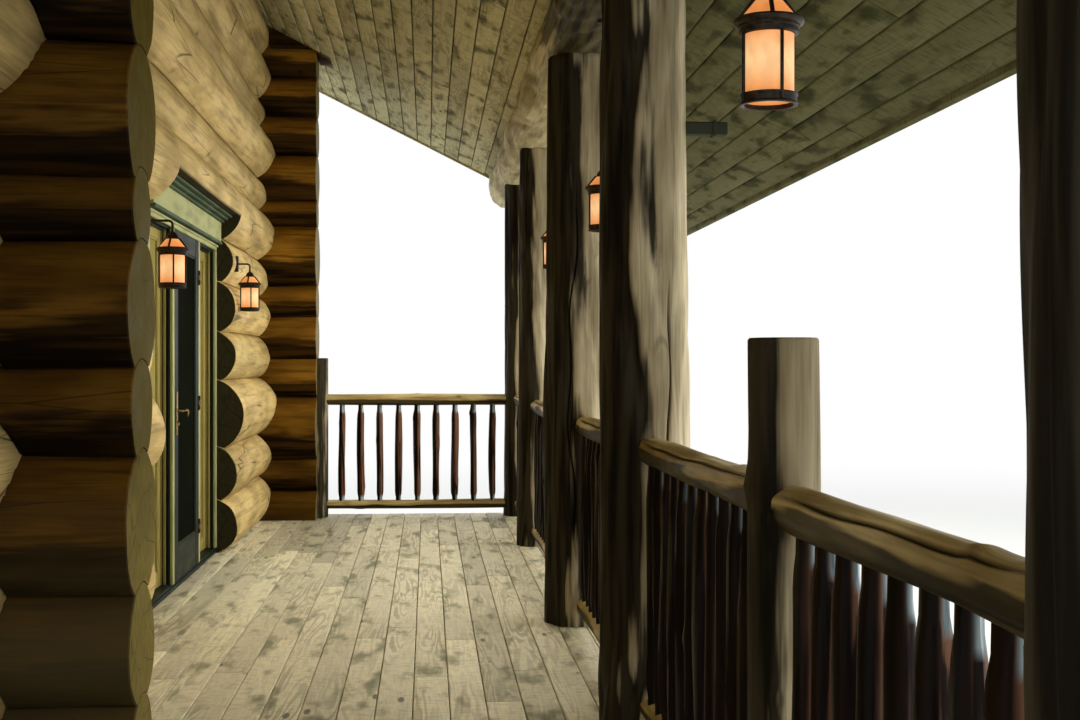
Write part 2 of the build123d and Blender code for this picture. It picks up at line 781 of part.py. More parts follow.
# Lanterns on short arms, one each side of the door, on back plates scribed to the logs.
bracket_axis, bracket_log = front_courses[5]
bracket_width = 45.0
bracket_height = 110.0
bracket_depth = 14.0
arm_x = wall_line + bracket_log + wall_lantern_reach
arm_height = wall_lantern_axis + lantern_top + arm_drop
with BuildPart() as wall_lanterns:
    for place in wall_lantern_places:
        log_face = line_of_wall(bracket_axis, place) + bracket_log
        lantern_cage(arm_x, place, wall_lantern_axis)
        with Locations((arm_x, place, deck_level + arm_height)):
            Cylinder(hanger_round / 2, arm_drop + hanger_round,
                     align=(Align.CENTER, Align.CENTER, Align.MAX))
            Sphere(hanger_round / 2)
            Cylinder(hanger_round / 2, arm_x - log_face, rotation=(0, -90, 0),
                     align=(Align.CENTER, Align.CENTER, Align.MIN))
        with Locations((log_face + bracket_depth, place, deck_level + arm_height)):
            Box(4 * bracket_depth, bracket_width, bracket_height,
                align=(Align.MAX, Align.CENTER, Align.CENTER))
        for axis, radius in front_courses[4:7]:
            with Locations((line_of_wall(axis, place), place, deck_level + axis)):
                Cylinder(radius + scribe_gap, 4 * bracket_width, rotation=along_y, mode=Mode.SUBTRACT)
wall_lanterns.part.label = "wall_lanterns"
export_step(wall_lanterns.part, "parts/wall_lanterns.step")

# Amber glass cylinders standing on the lips of the foot bands, inside the bars.
glass_height = lantern_body - lantern_lip
lantern_middles = [(rail_line, place, pendant_axis) for place in pendant_places]
lantern_middles += [(arm_x, place, wall_lantern_axis) for place in wall_lantern_places]
with BuildPart() as lantern_glass:
    for x, y, axis in lantern_middles:
        glass_bottom = deck_level + axis - lantern_body / 2 + lantern_lip
        with BuildSketch(Plane.XY.offset(glass_bottom)):
            with Locations((x, y)):
                Circle(glass_round / 2)
        extrude(amount=glass_height)
lantern_glass.part.label = "lantern_glass"
export_step(lantern_glass.part, "parts/lantern_glass.step")
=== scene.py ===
import itertools
import math
import random

import bpy
import numpy as np
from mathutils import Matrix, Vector


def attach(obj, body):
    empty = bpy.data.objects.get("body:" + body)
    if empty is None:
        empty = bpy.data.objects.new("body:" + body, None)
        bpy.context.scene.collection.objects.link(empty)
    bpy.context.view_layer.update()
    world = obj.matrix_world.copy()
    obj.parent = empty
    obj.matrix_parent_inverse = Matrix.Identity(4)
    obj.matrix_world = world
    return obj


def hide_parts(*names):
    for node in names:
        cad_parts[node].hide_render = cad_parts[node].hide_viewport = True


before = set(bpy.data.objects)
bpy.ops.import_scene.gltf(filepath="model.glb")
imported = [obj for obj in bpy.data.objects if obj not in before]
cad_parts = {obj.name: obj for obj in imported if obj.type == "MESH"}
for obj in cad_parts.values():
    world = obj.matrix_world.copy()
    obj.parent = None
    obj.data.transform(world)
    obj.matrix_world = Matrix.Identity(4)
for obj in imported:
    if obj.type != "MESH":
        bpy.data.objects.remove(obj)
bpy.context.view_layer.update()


def bring_in(name, data):
    """Puts a new object of this name in the scene."""
    made = bpy.data.objects.new(name, data)
    bpy.context.scene.collection.objects.link(made)
    return made


# The view: along the porch from its near end, level, at eye height over the deck, and turned a little
# to the railings. The lens is 46.7 mm on a 36 mm frame, with the horizon four pixels under the middle.
deck_level = 0.75
eye_height = 1.30
frame_pixels = 1080
lens = bpy.data.cameras.new("lens")
lens.lens = 46.67
lens.sensor_width = 36
lens.shift_y = 4 / frame_pixels
lens.clip_start = 0.05
lens.clip_end = 400
camera = bring_in("camera", lens)
camera.location = (-0.07, -7.35, deck_level + eye_height)
camera.rotation_euler = (math.radians(90), 0, math.radians(-4.59))
bpy.context.scene.camera = camera


class Wire:
    """A value or colour on its way through a finish, so that its maths reads as plain sums."""

    def __init__(self, finish, socket):
        self.finish = finish
        self.socket = socket

    def maths(self, operation, first, second=0.0):
        return self.finish.node("ShaderNodeMath", {"operation": operation}, {0: first, 1: second})

    def __add__(self, other):
        return self.maths("ADD", self, other)

    def __radd__(self, other):
        return self.maths("ADD", other, self)

    def __sub__(self, other):
        return self.maths("SUBTRACT", self, other)

    def __rsub__(self, other):
        return self.maths("SUBTRACT", other, self)

    def __mul__(self, other):
        return self.maths("MULTIPLY", self, other)

    def __rmul__(self, other):
        return self.maths("MULTIPLY", other, self)

    def greater(self, other):
        return self.maths("MAXIMUM", self, other)

    def wave(self):
        return self.maths("SINE", self)

    def ramp(self, low, high, start=0.0, end=1.0):
        return self.finish.node(
            "ShaderNodeMapRange", {"interpolation_type": "SMOOTHSTEP"},
            {"Value": self, "From Min": low, "From Max": high, "To Min": start, "To Max": end})


class Finish:
    """One finish of the porch, or the sky over it, made from nodes and the marks that its pieces carry."""

    def __init__(self, name, kind=bpy.data.materials):
        self.made = kind.new(name)
        self.made.use_nodes = True
        self.tree = self.made.node_tree
        self.tree.nodes.clear()

    def node(self, kind, settings=None, sockets=None, out=0):
        made = self.tree.nodes.new(kind)
        for setting, value in (settings or {}).items():
            setattr(made, setting, value)
        for key, value in (sockets or {}).items():
            socket = made.inputs[key]
            if isinstance(value, Wire):
                self.tree.links.new(value.socket, socket)
            elif isinstance(value, (int, float)):
                socket.default_value = value
            else:
                socket.default_value = (*value, 1.0)[:len(socket.default_value)]
        return Wire(self, made.outputs[out]) if made.outputs else None

    def mark(self, name, out=2):
        return self.node("ShaderNodeAttribute", {"attribute_name": name}, out=out)

    def place(self):
        return self.node("ShaderNodeTexCoord", out=3)

    def part_of(self, where, axis):
        return self.node("ShaderNodeSeparateXYZ", {}, {0: where}, out=axis)

    def length(self, where):
        return self.node("ShaderNodeVectorMath", {"operation": "LENGTH"}, {0: where}, out=1)

    def stretch(self, where, by):
        return self.node("ShaderNodeVectorMath", {"operation": "MULTIPLY"}, {0: where, 1: by})

    def noise(self, where, by, detail=2.0, twist=0.0):
        return self.node("ShaderNodeTexNoise", {}, {"Vector": self.stretch(where, by), "Scale": 1.0,
                                                    "Detail": detail, "Distortion": twist})

    def cells(self, where, by, feature="F1"):
        return self.node("ShaderNodeTexVoronoi", {"feature": feature},
                         {"Vector": self.stretch(where, by), "Scale": 1.0})

    def mix(self, amount, under, over):
        return self.node("ShaderNodeMix", {"data_type": "RGBA"}, {0: amount, 6: under, 7: over}, out=2)

    def lit(self, colour, by):
        return self.node("ShaderNodeVectorMath", {"operation": "SCALE"}, {0: colour, "Scale": by})

    def rays(self, *kinds):
        """1 for these kinds of ray, which see the background, and 0 for the light that falls on the porch."""
        masks = [self.node("ShaderNodeLightPath", out=f"Is {kind} Ray") for kind in kinds]
        for mask in masks[1:]:
            masks[0] = masks[0].greater(mask)
        return masks[0]

    def coat(self, colour, roughness, height=None, depth=0.002, strength=1.0, **fixed):
        sockets = {"Base Color": colour, "Roughness": roughness}
        sockets.update({key.replace("_", " "): value for key, value in fixed.items()})
        if height is not None:
            sockets["Normal"] = self.node("ShaderNodeBump", {},
                                          {"Height": height, "Distance": depth, "Strength": strength})
        shader = self.node("ShaderNodeBsdfPrincipled", {}, sockets)
        self.node("ShaderNodeOutputMaterial", {}, {"Surface": shader})
        return self.made


# Studio: a pale floor that keeps the shadow and turns white far off, and an even pale sky. Two soft lamps
# stand outside, and a long weak one under the roof is the daylight that the ground throws up.
ground = Finish("studio_floor")
fade = ground.length(ground.place()).ramp(8, 24) * ground.rays("Camera", "Glossy")
plain = ground.node("ShaderNodeBsdfDiffuse", {}, {"Color": (0.70, 0.70, 0.67)})
white = ground.node("ShaderNodeEmission", {}, {"Color": (1, 1, 1), "Strength": 1.0})
faded = ground.node("ShaderNodeMixShader", {}, {0: fade, 1: plain, 2: white})
ground.node("ShaderNodeOutputMaterial", {}, {"Surface": faded})
floor_reach = 150
floor_corners = [(-floor_reach, -floor_reach, 0), (floor_reach, -floor_reach, 0),
                 (floor_reach, floor_reach, 0), (-floor_reach, floor_reach, 0)]
floor_mesh = bpy.data.meshes.new("studio_floor")
floor_mesh.from_pydata(floor_corners, [], [(0, 1, 2, 3)])
floor_mesh.materials.append(ground.made)
bring_in("studio_floor", floor_mesh)

sky = Finish("sky", bpy.data.worlds)
bpy.context.scene.world = sky.made
brightest_way = (0.66, 0.52, 0.54)
facing = sky.node("ShaderNodeVectorMath", {"operation": "DOT_PRODUCT"},
                  {0: sky.node("ShaderNodeTexCoord"), 1: brightest_way}, out=1)
level = sky.node("ShaderNodeMapRange", {},
                 {"Value": facing, "From Min": -0.7, "From Max": 1.0, "To Min": 0.42, "To Max": 1.7})
daylight = sky.node("ShaderNodeBackground", {}, {"Color": (0.96, 0.98, 1.0), "Strength": level})
white = sky.node("ShaderNodeBackground", {}, {"Color": (1, 1, 1), "Strength": 1.0})
seen = sky.node("ShaderNodeMixShader", {},
                {0: sky.rays("Camera", "Glossy", "Transmission"), 1: daylight, 2: white})
sky.node("ShaderNodeOutputWorld", {}, {"Surface": seen})

for name, place, aim, width, height, power in (
        ("open_side_lamp", (10.0, 1.0, 4.5), (-0.6, -0.8, 1.4), 7.0, 7.0, 650),
        ("far_end_lamp", (1.0, 12.0, 4.0), (-0.4, 1.0, 1.2), 4.0, 4.0, 200),
        ("under_roof_lamp", (0.45, 1.7, 2.70), (-1.6, 1.7, 1.8), 5.6, 0.3, 62)):
    light = bpy.data.lights.new(name, "AREA")
    light.shape = "RECTANGLE"
    light.size = width
    light.size_y = height
    light.energy = power
    light.color = (1.0, 0.95, 0.84)
    lamp = bring_in(name, light)
    lamp.location = place
    lamp.rotation_euler = (Vector(aim) - Vector(place)).to_track_quat("-Z", "Y").to_euler()
    lamp.visible_glossy = False
    lamp.visible_camera = False
bpy.context.scene.view_settings.view_transform = "Standard"


class Pile:
    """Shapes gathered into one piece. Each point carries marks for the finish: its place in the grain, the
    tone of its board or log, whether it is on a cut end or in a crack, and how far it faces the light, which
    its finish paints as light and shade."""

    def __init__(self):
        self.points = []
        self.faces = []
        self.marks = []
        self.count = 0

    def add(self, points, faces, grain, tone=0.0, cut=0.0, crack=0.0, side=1.0):
        points = np.asarray(points, float).reshape(-1, 3)
        self.points.append(points)
        self.faces.extend([[corner + self.count for corner in face] for face in faces])
        self.count += len(points)
        marks = [np.broadcast_to(np.ravel(mark), len(points)) for mark in (tone, cut, crack, side)]
        self.marks.append(np.column_stack([np.reshape(grain, (-1, 3)), *marks]))

    def done(self, name, slot, finish, *nodes, body="porch", sharp=38):
        mesh = bpy.data.meshes.new(name)
        mesh.from_pydata(np.concatenate(self.points).tolist(), [], self.faces)
        marks = np.concatenate(self.marks).astype(np.float32)
        grain = mesh.attributes.new("grain", "FLOAT_VECTOR", "POINT")
        grain.data.foreach_set("vector", marks[:, :3].ravel())
        for column, mark in enumerate(("tone", "cut", "crack", "side"), 3):
            values = mesh.attributes.new(mark, "FLOAT", "POINT")
            values.data.foreach_set("value", marks[:, column].copy())
        mesh.polygons.foreach_set("use_smooth", [True] * len(mesh.polygons))
        mesh.set_sharp_from_angle(angle=math.radians(sharp))
        mesh.materials.append(finish)
        piece = bring_in(name, mesh)
        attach(piece, body)
        if nodes:
            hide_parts(*nodes)


def skin(rows, around, flip=False):
    """Faces between closed rows of points, each row to the next."""
    faces = []
    for row, step in itertools.product(range(rows - 1), range(around)):
        following = (step + 1) % around
        face = [row * around + step, row * around + following,
                (row + 1) * around + following, (row + 1) * around + step]
        faces.append(face[::-1] if flip else face)
    return faces


# Foundation and piers: mortared field stone, laid in rough courses on level ground.
# The wall logs stand on the foundation, and the piers carry the deck beam.
foundation_face = -1.43
foundation_back = -1.73
wall_start = -6.25
wall_end = 5.10
party_cut = -2.02
rail_line = 0.705
post_places = [-5.92, -2.37, -0.29, 2.70, 4.67]
newel_place = -4.35
near_side_wall = -2.43
far_side_wall = 4.65
side_footing = 0.15
board_thickness = 0.038
joist_depth = 0.2
beam_size = 0.2
joist_top = deck_level - board_thickness
beam_top = joist_top - joist_depth
pier_top = beam_top - beam_size
pier_size = 0.38
mortar_depth = 0.012
stone_depth = 0.05
stone_gap = 0.005
stone_chance = random.Random(11)
box_faces = [(0, 1, 3, 2), (4, 6, 7, 5), (0, 4, 5, 1), (2, 3, 7, 6), (0, 2, 6, 4), (1, 5, 7, 3)]


def cut_lengths(chance, start, end, shortest, longest, least):
    """Where pieces of chance lengths start and stop along a line, with no piece under the least length."""
    while start < end:
        stop = start + chance.uniform(shortest, longest)
        if end - stop < least:
            stop = end
        yield start, stop
        start = stop


def field_stone(pile, centre, half_sizes):
    """One rounded stone, a little out of true."""
    rows, around, blunt = 7, 12, 0.42
    up = np.linspace(-math.pi / 2, math.pi / 2, rows)[:, None]
    turn = np.linspace(0, 2 * math.pi, around, endpoint=False)[None, :]
    ball = np.stack([np.cos(up) * np.cos(turn), np.cos(up) * np.sin(turn), np.sin(up) + 0 * turn], -1)
    shape = np.asarray(half_sizes) * np.sign(ball) * np.abs(ball) ** blunt
    wobble = 1 - 0.05 * np.array([[stone_chance.random() for _ in range(around)] for _ in range(rows)])
    wobble[[0, -1]] = wobble[[0, -1], :1]
    points = np.asarray(centre) + shape * wobble[..., None]
    tone = stone_chance.uniform(-1, 1)
    pile.add(points, skin(rows, around), points + stone_chance.uniform(0, 9), tone)


def masonry(stones, mortar, low, high, sides, drop=0.002, join=0.0):
    """A core of mortar, and courses of stones on the sides that are named as (axis, way out). drop keeps the
    mortar under what rests on it, and join runs it on into the next core."""
    core_high = (high[0] + join if join else high[0] - mortar_depth, high[1] - mortar_depth, high[2] - drop)
    corners = list(itertools.product(*zip((low[0] + mortar_depth, low[1] + mortar_depth, 0.0), core_high)))
    mortar.add(corners, box_faces, corners)
    for level, course_top in cut_lengths(stone_chance, 0.0, high[2], 0.10, 0.17, 0.07):
        for axis, out in sides:
            other = 1 - axis
            for start, stop in cut_lengths(stone_chance, low[other], high[other], 0.14, 0.34, 0.10):
                centre = [0, 0, (level + course_top) / 2]
                centre[axis] = (high if out > 0 else low)[axis] - out * stone_depth
                centre[other] = (start + stop) / 2
                half_sizes = [0, 0, (course_top - level) / 2 - stone_gap]
                half_sizes[axis] = stone_depth
                half_sizes[other] = (stop - start) / 2 - stone_gap
                field_stone(stones, centre, half_sizes)


stones = Pile()
mortar = Pile()
masonry(stones, mortar, (foundation_back, wall_start, 0.0), (foundation_face, wall_end, deck_level),
        ((0, 1), (0, -1), (1, -1), (1, 1)))
for wall in (near_side_wall, far_side_wall):
    masonry(stones, mortar, (party_cut, wall - side_footing, 0.0),
            (foundation_back, wall + side_footing, deck_level), ((1, -1), (1, 1), (0, -1)), join=0.05)
pier_stones = Pile()
pier_mortar = Pile()
for place in post_places + [newel_place]:
    masonry(pier_stones, pier_mortar, (rail_line - pier_size / 2, place - pier_size / 2, 0.0),
            (rail_line + pier_size / 2, place + pier_size / 2, pier_top),
            ((0, -1), (0, 1), (1, -1), (1, 1)), drop=0.001)

stone = Finish("field_stone")
patches = stone.noise(stone.mark("grain", 1), (14, 14, 14), 5)
specks = stone.noise(stone.mark("grain", 1), (160, 160, 160), 2)
stone_colour = stone.mix(patches.ramp(0.35, 0.65), (0.20, 0.19, 0.17), (0.42, 0.39, 0.34))
stone_colour = stone.lit(stone_colour, 1 + 0.3 * stone.mark("tone"))
stone_colour = stone.mix(specks.ramp(0.6, 0.75, 0, 0.5), stone_colour, (0.10, 0.10, 0.09))
stone_finish = stone.coat(stone_colour, 0.88, patches + specks * 0.3, 0.01)
joint = Finish("mortar")
sand = joint.noise(joint.place(), (220, 220, 220), 2)
mortar_finish = joint.coat(joint.mix(sand, (0.34, 0.32, 0.28), (0.48, 0.46, 0.41)), 0.95, sand, 0.003)
stones.done("foundation_stones", "masonry", stone_finish, "foundation")
mortar.done("foundation_mortar", "masonry", mortar_finish)
pier_stones.done("pier_stones", "masonry", stone_finish, "deck_piers")
pier_mortar.done("pier_mortar", "masonry", mortar_finish)


# Deck: 140 mm softwood boards laid along the porch with staggered butt joints, fixed to joists.
# A doubled beam on the piers and the foundation carry the joists. The boards are weathered olive grey.
deck_edge = 0.88
deck_far_end = 4.90
board_pitch = 0.14
board_line = -0.126
board_gap = 0.004
strip_width = 0.11
strip_thickness = 0.02
joist_width = 0.045
joist_pitch = 0.406
cross_axes = {0: (1, 2), 1: (2, 0), 2: (0, 1)}


def prism(pile, outline, run, start, stop, ease=0.003, tone=0.0, offset=0.0, bend=None, steps=1):
    """A straight piece with one outline all along, and eased ends. run is the axis its grain follows."""
    outline = np.asarray(outline, float)
    across, up = cross_axes[run]
    around = len(outline)
    middle = outline.mean(0)
    inner = middle + (outline - middle) * (1 - ease / np.maximum(np.abs(outline - middle).max(0), ease * 2))
    places = [start, *np.linspace(start + ease, stop - ease, steps + 1), stop]
    rows = []
    grains = []
    for number, place in enumerate(places):
        row = inner if number in (0, len(places) - 1) else outline
        points = np.zeros((around, 3))
        points[:, across] = row[:, 0]
        points[:, up] = row[:, 1]
        points[:, run] = place
        rows.append(bend(points) if bend else points)
        grains.append(np.column_stack([row - middle, np.full(around, place + offset)]))
    pile.add(np.concatenate(rows), skin(len(places), around), np.concatenate(grains), tone)
    for end, order in ((0, -1), (-1, 1)):
        pile.add(rows[end], [list(range(around))[::order]], grains[end], tone, 1.0)


def board(pile, low, high, run, ease=0.003, **more):
    """A sawn board between two corners, with eased edges."""
    across, up = cross_axes[run]
    a0, a1 = low[across], high[across]
    b0, b1 = low[up], high[up]
    outline = [(a0 + ease, b0), (a1 - ease, b0), (a1, b0 + ease), (a1, b1 - ease),
               (a1 - ease, b1), (a0 + ease, b1), (a0, b1 - ease), (a0, b0 + ease)]
    prism(pile, outline, run, low[run], high[run], ease=ease, **more)


def stock(chance, shade=0.0):
    """The tone of one board, plus shade for painted light and shade, and where along the tree its grain is
    taken from.
    """
    return {"tone": chance.uniform(-1, 1) + shade, "offset": chance.uniform(0, 60)}


def spaced(start, length, width, pitch):
    """Where members of one width start, evenly spaced and about a pitch apart, from end to end."""
    bays = int(length // pitch)
    return [start + bay * ((length - width) / bays) for bay in range(bays + 1)]


deck_chance = random.Random(5)
boards = Pile()
board_lines = [foundation_face] + [board_line + board_pitch * step for step in range(-9, 8)] + [deck_edge]
# The boards are painted lighter towards the near end and darker towards the far end: painted light and shade.
for left, right in zip(board_lines, board_lines[1:]):
    for start, stop in cut_lengths(deck_chance, wall_start, deck_far_end, 1.9, 3.9, 0.7):
        sink = deck_chance.uniform(0, 0.0012)
        board(boards, (left + board_gap / 2, start + 0.001, joist_top - sink),
              (right - board_gap / 2, stop - 0.001, deck_level - sink), 1,
              **stock(deck_chance, min(2, max(-0.9, start * -0.35))))
strip_joints = [wall_start + 0.001, -4, -2, 0, 2, 4, deck_far_end]
for start, stop in zip(strip_joints, strip_joints[1:]):
    board(boards, (foundation_face - strip_width, start, deck_level - strip_thickness),
          (foundation_face - board_gap / 2, stop - 0.002, deck_level + 0.0005), 1, **stock(deck_chance))

joists = Pile()
for rim in (foundation_face, deck_edge - joist_width):
    board(joists, (rim, wall_start, beam_top), (rim + joist_width, deck_far_end, joist_top - 0.0005), 1,
          **stock(deck_chance))
for place in spaced(wall_start, deck_far_end - wall_start, joist_width, joist_pitch):
    board(joists, (foundation_face + joist_width, place, beam_top),
          (deck_edge - joist_width, place + joist_width, joist_top - 0.0005), 0, **stock(deck_chance))
beam = Pile()
for left in (rail_line - beam_size / 2, rail_line):
    board(beam, (left + 0.001, wall_start, pier_top),
          (left + beam_size / 2 - 0.001, deck_far_end, beam_top), 1, **stock(deck_chance))


def darker(colour, share):
    return [share * part for part in colour]


def sawn(name, pale, dark, stain, saw_marks=0.0, wear=0.5, roughness=0.8, damp=None):
    """Sawn softwood: growth figure, knots, stains in patches and rough saw marks across the boards.
    damp is the colour that it turns near the eave, beyond the posts."""
    wood = Finish(name)
    grain = wood.mark("grain", 1)
    figure = wood.noise(grain, (9, 9, 0.9), 2, 0.6)
    rings = (figure * 55).wave().ramp(-0.6, 1.0)
    fibre = wood.noise(grain, (240, 240, 9), 2)
    patch = wood.noise(grain, (9, 9, 3.2), 3)
    slant = wood.node("ShaderNodeMapping", {},
                      {"Vector": grain, "Rotation": (0.0, 0.5, 0.0), "Scale": (16, 16, 80)})
    marks = wood.node("ShaderNodeTexNoise", {}, {"Vector": slant, "Scale": 1.0, "Detail": 3.0})
    knots = wood.cells(grain, (6.0, 6.0, 1.9)).ramp(0.06, 0.10, 1, 0)
    broad = wood.noise(grain, (3.5, 3.5, 0.7), 2)
    colour = wood.mix(rings * broad.ramp(0.40, 0.62, 0.12, 0.70), pale, dark)
    colour = wood.mix(fibre.ramp(0.45, 0.75, 0, 0.35), colour, dark)
    colour = wood.mix(patch.ramp(0.52, 0.72, 0, wear), colour, stain)
    colour = wood.mix(knots * 0.75, colour, darker(stain, 0.3))
    colour = wood.lit(colour, 1 + 0.20 * wood.mark("tone"))
    if damp:
        wet = (wood.part_of(wood.place(), 0) + (fibre - 0.5) * 0.3).ramp(0.35, 1.1)
        colour = wood.mix(wet * 0.8, colour, damp)
        colour = wood.mix(patch.ramp(0.48, 0.70, 0, 0.75) * wet, colour, darker(damp, 0.45))
    colour = wood.mix(marks.ramp(0.52, 0.64, 0, saw_marks), colour, darker(stain, 0.45))
    colour = wood.mix(wood.mark("cut") * 0.35, colour, stain)
    return wood.coat(colour, patch.ramp(0.3, 0.7, roughness - 0.15, roughness + 0.05),
                     fibre * 0.35 + marks * saw_marks, 0.0015, Specular_IOR_Level=0.08)


deck_finish = sawn("deck_board_wood", (0.72, 0.66, 0.47), (0.35, 0.33, 0.21), (0.155, 0.160, 0.095),
                   saw_marks=0.22, wear=0.75, roughness=0.6)
frame_finish = sawn("frame_wood", (0.44, 0.34, 0.22), (0.32, 0.23, 0.14), (0.20, 0.16, 0.11))
boards.done("deck_planks", "deck_wood", deck_finish, "deck_boards")
joists.done("deck_joists", "frame_wood", frame_finish, "deck_frame")
beam.done("doubled_beam", "frame_wood", frame_finish, "deck_beam")


# Log walls: peeled logs laid up from half logs, each scribed over the one below and notched over the
# logs that it crosses. Long drying cracks, knots and drawknife flats show in the skin.
wall_line = -1.58
near_wall_line = -1.68
unit_start = 0.05
unit_end = 2.43
frame_top = deck_level + 2.13
opening_top = frame_top + 0.19
first_over_door = 6
scribe = 0.0004
any_phase = (0, 6.3)
front_courses = [
    (0.180, 0.205), (0.540, 0.205), (0.950, 0.255), (1.350, 0.195), (1.690, 0.195), (2.010, 0.178),
    (2.370, 0.232), (2.715, 0.160), (3.055, 0.230), (3.385, 0.150), (3.685, 0.200), (4.030, 0.200),
]
near_side_courses = [
    (-0.020, 0.180), (0.330, 0.215), (0.750, 0.260), (1.140, 0.180), (1.490, 0.240), (1.830, 0.150),
    (2.150, 0.250), (2.570, 0.210), (2.900, 0.190), (3.250, 0.210), (3.580, 0.170), (3.930, 0.220),
]
far_side_courses = [
    (0.000, 0.250), (0.372, 0.150), (0.762, 0.270), (1.186, 0.184), (1.514, 0.200), (1.820, 0.162),
    (2.206, 0.260), (2.570, 0.130), (2.860, 0.215), (3.220, 0.175), (3.550, 0.180), (3.870, 0.185),
    (4.080, 0.240),
]


def ceiling_height(x):
    return 4.162 - 0.5 * x


class Log:
    """A peeled log lying along X or Y, with its own swells, bumps and tone."""

    def __init__(self, run, across, course, start, stop, seed, swell=0.012):
        level, self.radius = course
        self.run, self.across, self.height = run, across, deck_level + level
        self.start, self.stop = start, stop
        chance = random.Random(seed)
        self.offset = chance.uniform(0, 40)
        self.tone = chance.uniform(-1, 1)
        self.swells = []
        for bumps, pace, least, most in (((0, 0, 1, 1, 2, 2, 3, 3, 4, 5, 6), 6, 0.25, 0.8),
                                         ((8, 9, 11, 13), 16, 0.06, 0.16)):
            for turns in bumps:
                self.swells.append((turns, chance.uniform(-pace, pace), chance.uniform(*any_phase),
                                    swell * chance.uniform(least, most)))

    def reach(self, turn, along):
        """Distance from the axis to the skin."""
        grown = 1.0
        for turns, pace, phase, size in self.swells:
            grown = grown + size * np.sin(turns * turn + pace * along + phase)
        return self.radius * grown

    def crest(self, across, along):
        """Height of the upper skin over a point, or far below where the log isn't under it."""
        side = np.clip((across - self.across) / self.radius, -1, 1)
        reach = self.reach(np.arccos(side), along) + scribe
        inside = reach ** 2 - (across - self.across) ** 2
        return np.where(inside > 0, self.height + np.sqrt(np.maximum(inside, 0)), -9.0)


def cut_end(pile, ring, grain, tone, shares, flip):
    """The sawn end of a log or pole: rings of points that close in on its pith."""
    around = len(ring)
    disc, marks = (np.concatenate([part.mean(0) + (part - part.mean(0)) * share for share in shares])
                   for part in (ring, grain))
    pith = list(range((len(shares) - 1) * around, len(shares) * around))
    pile.add(disc, skin(len(shares), around, flip) + [pith[::-1] if flip else pith], marks, tone, 1.0)


def lay_log(pile, log, below, crossed, over_opening=False, around=40, step=0.06):
    """Lays one log: rings of skin along its run, lifted where it sits over other logs, and its two ends."""
    bevel = 0.005
    places = list(np.linspace(log.start, log.stop, int((log.stop - log.start) / step) + 2))
    places += [log.start + bevel, log.stop - bevel]
    for other in crossed:
        places += list(other.across + other.radius * 1.05 * np.sin(np.linspace(-1.57, 1.57, 25)))
    if over_opening:
        places += [edge + shift for edge in (unit_start, unit_end)
                   for shift in (-0.0016, -0.001, 0.001, 0.0016)]
    places = np.unique(np.round([p for p in places if log.start <= p <= log.stop], 5))
    turn = np.linspace(-math.pi, math.pi, around, endpoint=False)[None, :]
    along = places[:, None] + 0 * turn
    reach = log.reach(turn, along)
    reach[[0, -1]] -= bevel
    across = log.across + reach * np.cos(turn)
    height = log.height + reach * np.sin(turn)
    least = np.full_like(height, deck_level)
    for under in below:
        beneath = (along >= under.start - 0.01) & (along <= under.stop + 0.01)
        least = np.where(beneath, np.maximum(least, under.crest(across, along)), least)
    for other in crossed:
        least = np.maximum(least, other.crest(along, across))
    if over_opening:
        opening = (along > unit_start) & (along < unit_end)
        least = np.where(opening, np.maximum(least, opening_top), least)
    lifted = height < least
    height = np.maximum(height, least)
    half = np.sqrt(np.maximum(reach ** 2 - (height - log.height) ** 2, 0))
    across = np.where(lifted, np.clip(across, log.across - half, log.across + half), across)
    lies_along_porch = log.run == 1
    height = np.minimum(height, ceiling_height(across if lies_along_porch else along) - 0.001)
    cut = 0.0
    # The flat cut over the door opening takes the cut end colour, which on the front logs is near black:
    # painted shade.
    if over_opening:
        near_opening = (along > unit_start - 0.0012) & (along < unit_end + 0.0012)
        cut = 1.0 * (near_opening & (height < opening_top + 0.002))
    points = np.stack([across, along, height] if lies_along_porch else [along, across, height], -1)
    grain = np.stack([across - log.across, height - log.height, along + log.offset], -1)
    # The last mark is how far the skin faces up, so the finish paints the tops lit and the undersides in
    # shade.
    pile.add(points, skin(len(places), around, lies_along_porch), grain, log.tone, cut, 0.0,
             np.sin(turn) + 0 * along)
    for end, flip in ((0, not lies_along_porch), (-1, lies_along_porch)):
        cut_end(pile, points[end], grain[end], log.tone, (1.0, 0.96, 0.8, 0.6, 0.4, 0.2, 0.02), flip)


def crossing(courses, course, logs):
    """The crossing logs that the log of a course sits over."""
    height, radius = course
    return [log for (level, girth), log in zip(courses, logs)
            if level < height and level + girth > height - radius]


def lay_wall(piece, node, finish, logs, **more):
    """Lays the logs of a wall, given as (course, log, below, crossed), and parts odd courses from even."""
    layers = {"odd_logs": Pile(), "even_logs": Pile()}
    for course, log, below, crossed in logs:
        lay_log(layers["even_logs" if course % 2 else "odd_logs"], log, below, crossed,
                over_opening=log.run == 1 and course == first_over_door, **more)
    for layer, pile in layers.items():
        pile.done(f"{piece}_{layer}", "wall_log", finish, f"{node}_{layer}")


near_side_logs = [Log(0, near_side_wall, course, party_cut, -1.05, 100 + number, 0.016)
                  for number, course in enumerate(near_side_courses)]
far_side_ends = [-1.0] * 12 + [-0.88]
far_side_logs = [Log(0, far_side_wall, course, party_cut, end, 200 + number, 0.016)
                 for number, (course, end) in enumerate(zip(far_side_courses, far_side_ends))]
# The lower far side logs are made darker course by course: painted shade low on that wall.
for number, log in enumerate(far_side_logs):
    log.tone = 0.7 * log.tone + min(0, number - 6) * 1.1
front_spans = [("near", near_wall_line, range(0, 6), wall_start, unit_start),
               ("far", wall_line, range(0, 6), unit_end, wall_end),
               ("over_door", wall_line, range(6, 12), wall_start, wall_end)]
front_logs = {(name, course): Log(1, line, front_courses[course], start, stop, 300 + course)
              for name, line, courses, start, stop in front_spans for course in courses}
for (name, course), log in front_logs.items():
    if name == "far":
        log.tone *= -1
    # The logs over the door are made darker: painted shade.
    if name == "over_door":
        log.tone = 0.7 * log.tone - 1.6


